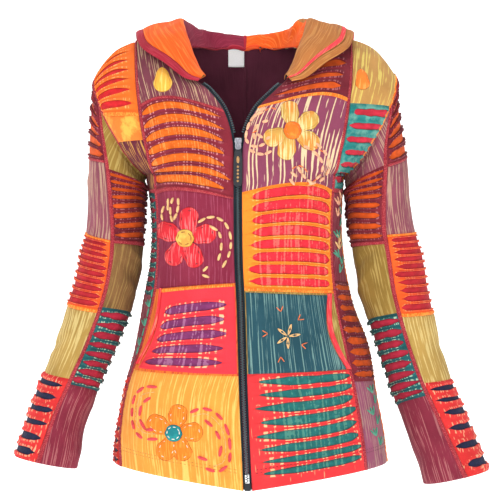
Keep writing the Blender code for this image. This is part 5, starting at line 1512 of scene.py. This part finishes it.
# outlines in mm from the hinge, across and up
sliderSide = [(1.2, 7.3), (3.6, 7.4), (5.1, 6.2), (5.2, 3.0), (4.3, -0.5), (4.0, -4.5), (4.3, -6.6),
              (3.4, -7.3)]
bridgeSide = [(0.9, 5.0), (1.1, 3.0), (1.1, -3.0), (0.9, -5.0)]
stripTop, stripLow = -9.95, -61.8
stripSide = [(3.4, stripTop), (4.6, stripTop - 0.6), (4.9, stripTop - 3), (5.4, stripTop - 8),
             (6.3, stripTop - 12), (6.3, stripLow + 6), (5.6, stripLow + 2.6), (3.6, stripLow + 0.4),
             (1.5, stripLow)]
makePlate("sliderBody", mirrored(sliderSide), -5.1, -1.3, metal, "zip_slider", bevel=0.6)
makePlate("sliderBridge", mirrored(bridgeSide), 1.5, 2.7, metal, bevel=0.4)
for middle in (4.3, -4.3):
    makePlate("sliderPost", mirrored([(1.0, middle + 0.7), (1.0, middle - 0.7)]), -1.6, 1.9, metal, bevel=0.3)
makePlate("pullLink", oval(4.4, 5.05, -4.45, 0.7), -0.8, 0.5, metal, "zip_link", body="pull",
          hole=oval(2.4, 3.25, -4.2, 0.75), bevel=0.25)
makePlate("pullStrip", mirrored(stripSide), -1.05, 1.05, rubber, "zip_pull", "pull", bevel=0.5)
x, y, z = stitchShape.T
marks = [atHinge(x * wide, 1.0 + y * 0.35, up + z * tall)       # one long mark over five short ones
         for up, wide, tall in [(-24, 2.6, 5.2)] + [(-34 - 5 * k, 1.9, 1.7) for k in range(5)]]
joinCopies("pullMarks", np.array(marks), stitchFaces, markPaint, body="pull")

ends, _, _, outs = zipFrames("middle", np.array([0.0, boxRow]))
builder = bmesh.new()
bmesh.ops.create_cube(builder, size=1.0)
for spot in builder.verts:
    end = int(spot.co.z > 0)
    spot.co = (ends[end] + outs[end] * (1.4 - spot.co.y * 2.5) + np.array((spot.co.x * 9.0, 0, 0))) * mm
bmesh.ops.recalc_face_normals(builder, faces=builder.faces[:])
piece = addPiece("zipFoot", meshFrom(builder, "zipFoot"), [rubber])
roundEdges(piece, 0.6, 3, harden_normals=True)
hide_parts("zip_box")

# bare woven label hung inside the back neck, tucked under the binding
rows, cols = np.linspace(-2.5, -28, 22), np.linspace(-25.3, -1.7, 20)
z, x = np.meshgrid(rows, cols, indexing="ij")
v, u = placeAt("back_center_r", x, z)
share = (rows[:, None] - rows[0]) / (rows[-1] - rows[0]) + 0 * x
lift = -1.9 - 0.5 * share ** 2 - 0.35 * np.sin(share * 5 + x * 0.25) * share
points = panelPoint("back_center_r", v, u, lift) + np.array((0, -4.6, 6.0))
piece = clothGrid("cloth_neck_label", points, -panelNormal("back_center_r", v[11, 10], u[11, 10]),
                  ["satin"], ["satin"], thickness=0.5)
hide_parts("neck_label")
print("zip and label made")


# the backdrop in metres, with the share of its wall that bends, and its own light
sweep = {"halfWide": 16, "floor": -0.78, "frontReach": 15, "wallAt": 6.5, "bend": 1.5, "wallRise": 22,
         "bendShare": 0.35, "glow": 0.72}


def makeBackdrop():
    # a pale sweep behind and below
    builder = bmesh.new()
    bmesh.ops.create_grid(builder, x_segments=40, y_segments=60, size=1)
    for spot in builder.verts:
        along, share = spot.co.y, sweep["bendShare"]
        bend = min(1.0, max(0.0, along / share)) * math.pi / 2
        rise = max(0.0, along - share) * sweep["wallRise"] + (1 - math.cos(bend)) * sweep["bend"]
        back = min(0.0, along) * sweep["frontReach"] + math.sin(bend) * sweep["bend"]
        spot.co = (spot.co.x * sweep["halfWide"], sweep["wallAt"] + back, sweep["floor"] + rise)
    mesh = meshFrom(builder, "backdrop")
    mesh.shade_smooth()
    backdrop = bpy.data.objects.new("backdrop", mesh)
    bpy.context.scene.collection.objects.link(backdrop)
    # Seamless paper: an even matt white that lets the cloth's colours stand out
    material, tree, shader = startMaterial("seamlessPaper", "#FBFBFA", 0.95)
    grain = addNode(tree, "ShaderNodeTexNoise", {"Scale": 300.0, "Detail": 3.0}).outputs["Fac"]
    addBump(tree, shader, grain, 0.0002, 0.1)
    shader.inputs["Emission Color"].default_value = (1, 1, 1, 1)
    shader.inputs["Emission Strength"].default_value = sweep["glow"]
    mesh.materials.append(material)


def addLight(name, place, aim, size, power, kind="AREA"):
    lamp = bpy.data.lights.new(name, kind)
    if kind == "SPOT":      # size is the cone's angle, soft to its middle
        lamp.spot_size, lamp.spot_blend, lamp.shadow_soft_size = size, 1.0, 0.1
    else:
        lamp.shape = "RECTANGLE"
        lamp.size, lamp.size_y = size
    lamp.energy = power
    item = bpy.data.objects.new(name, lamp)
    item.location = place
    item.rotation_euler = (Vector(aim) - Vector(place)).to_track_quat("-Z", "Y").to_euler()
    bpy.context.scene.collection.objects.link(item)


makeBackdrop()
addLight("keySoftbox", (-1.5, -2.6, 1.3), (0, 0, -0.3), (1.5, 1.7), 51)
addLight("fillSoftbox", (2.1, -2.4, 0.3), (0, 0, -0.3), (1.8, 2.0), 34)
addLight("frontSoftbox", (0.2, -3.2, 0.5), (0, 0, -0.2), (1.4, 1.0), 9)
addLight("topSoftbox", (0.0, 0.2, 1.9), (0, 0, -0.3), (2.0, 1.6), 24)
addLight("backLeft", (-2.0, 1.0, 0.2), (0, 0.8, -0.3), (1.0, 2.0), 16)
addLight("neckSpot", (-0.01, -3.2, -0.16), (-0.012, 0.08, -0.02), math.radians(3.6), 170, kind="SPOT")

world = bpy.context.scene.world or bpy.data.worlds.new("studio")
bpy.context.scene.world = world
world.use_nodes = True
sky = world.node_tree.nodes["Background"]
sky.inputs["Color"].default_value = (1, 1, 1, 1)
sky.inputs["Strength"].default_value = 0.31

lens = bpy.data.cameras.new("camera")
lens.lens = 164.0
lens.sensor_width = 36.0
lens.clip_start, lens.clip_end = 0.1, 30.0
camera = bpy.data.objects.new("camera", lens)
camera.location = (0.0065, -3.34, -0.297)
camera.rotation_euler = (math.pi / 2, 0, 0)
bpy.context.scene.collection.objects.link(camera)
bpy.context.scene.camera = camera
bpy.context.scene.view_settings.view_transform = "Standard"
print("stage set")
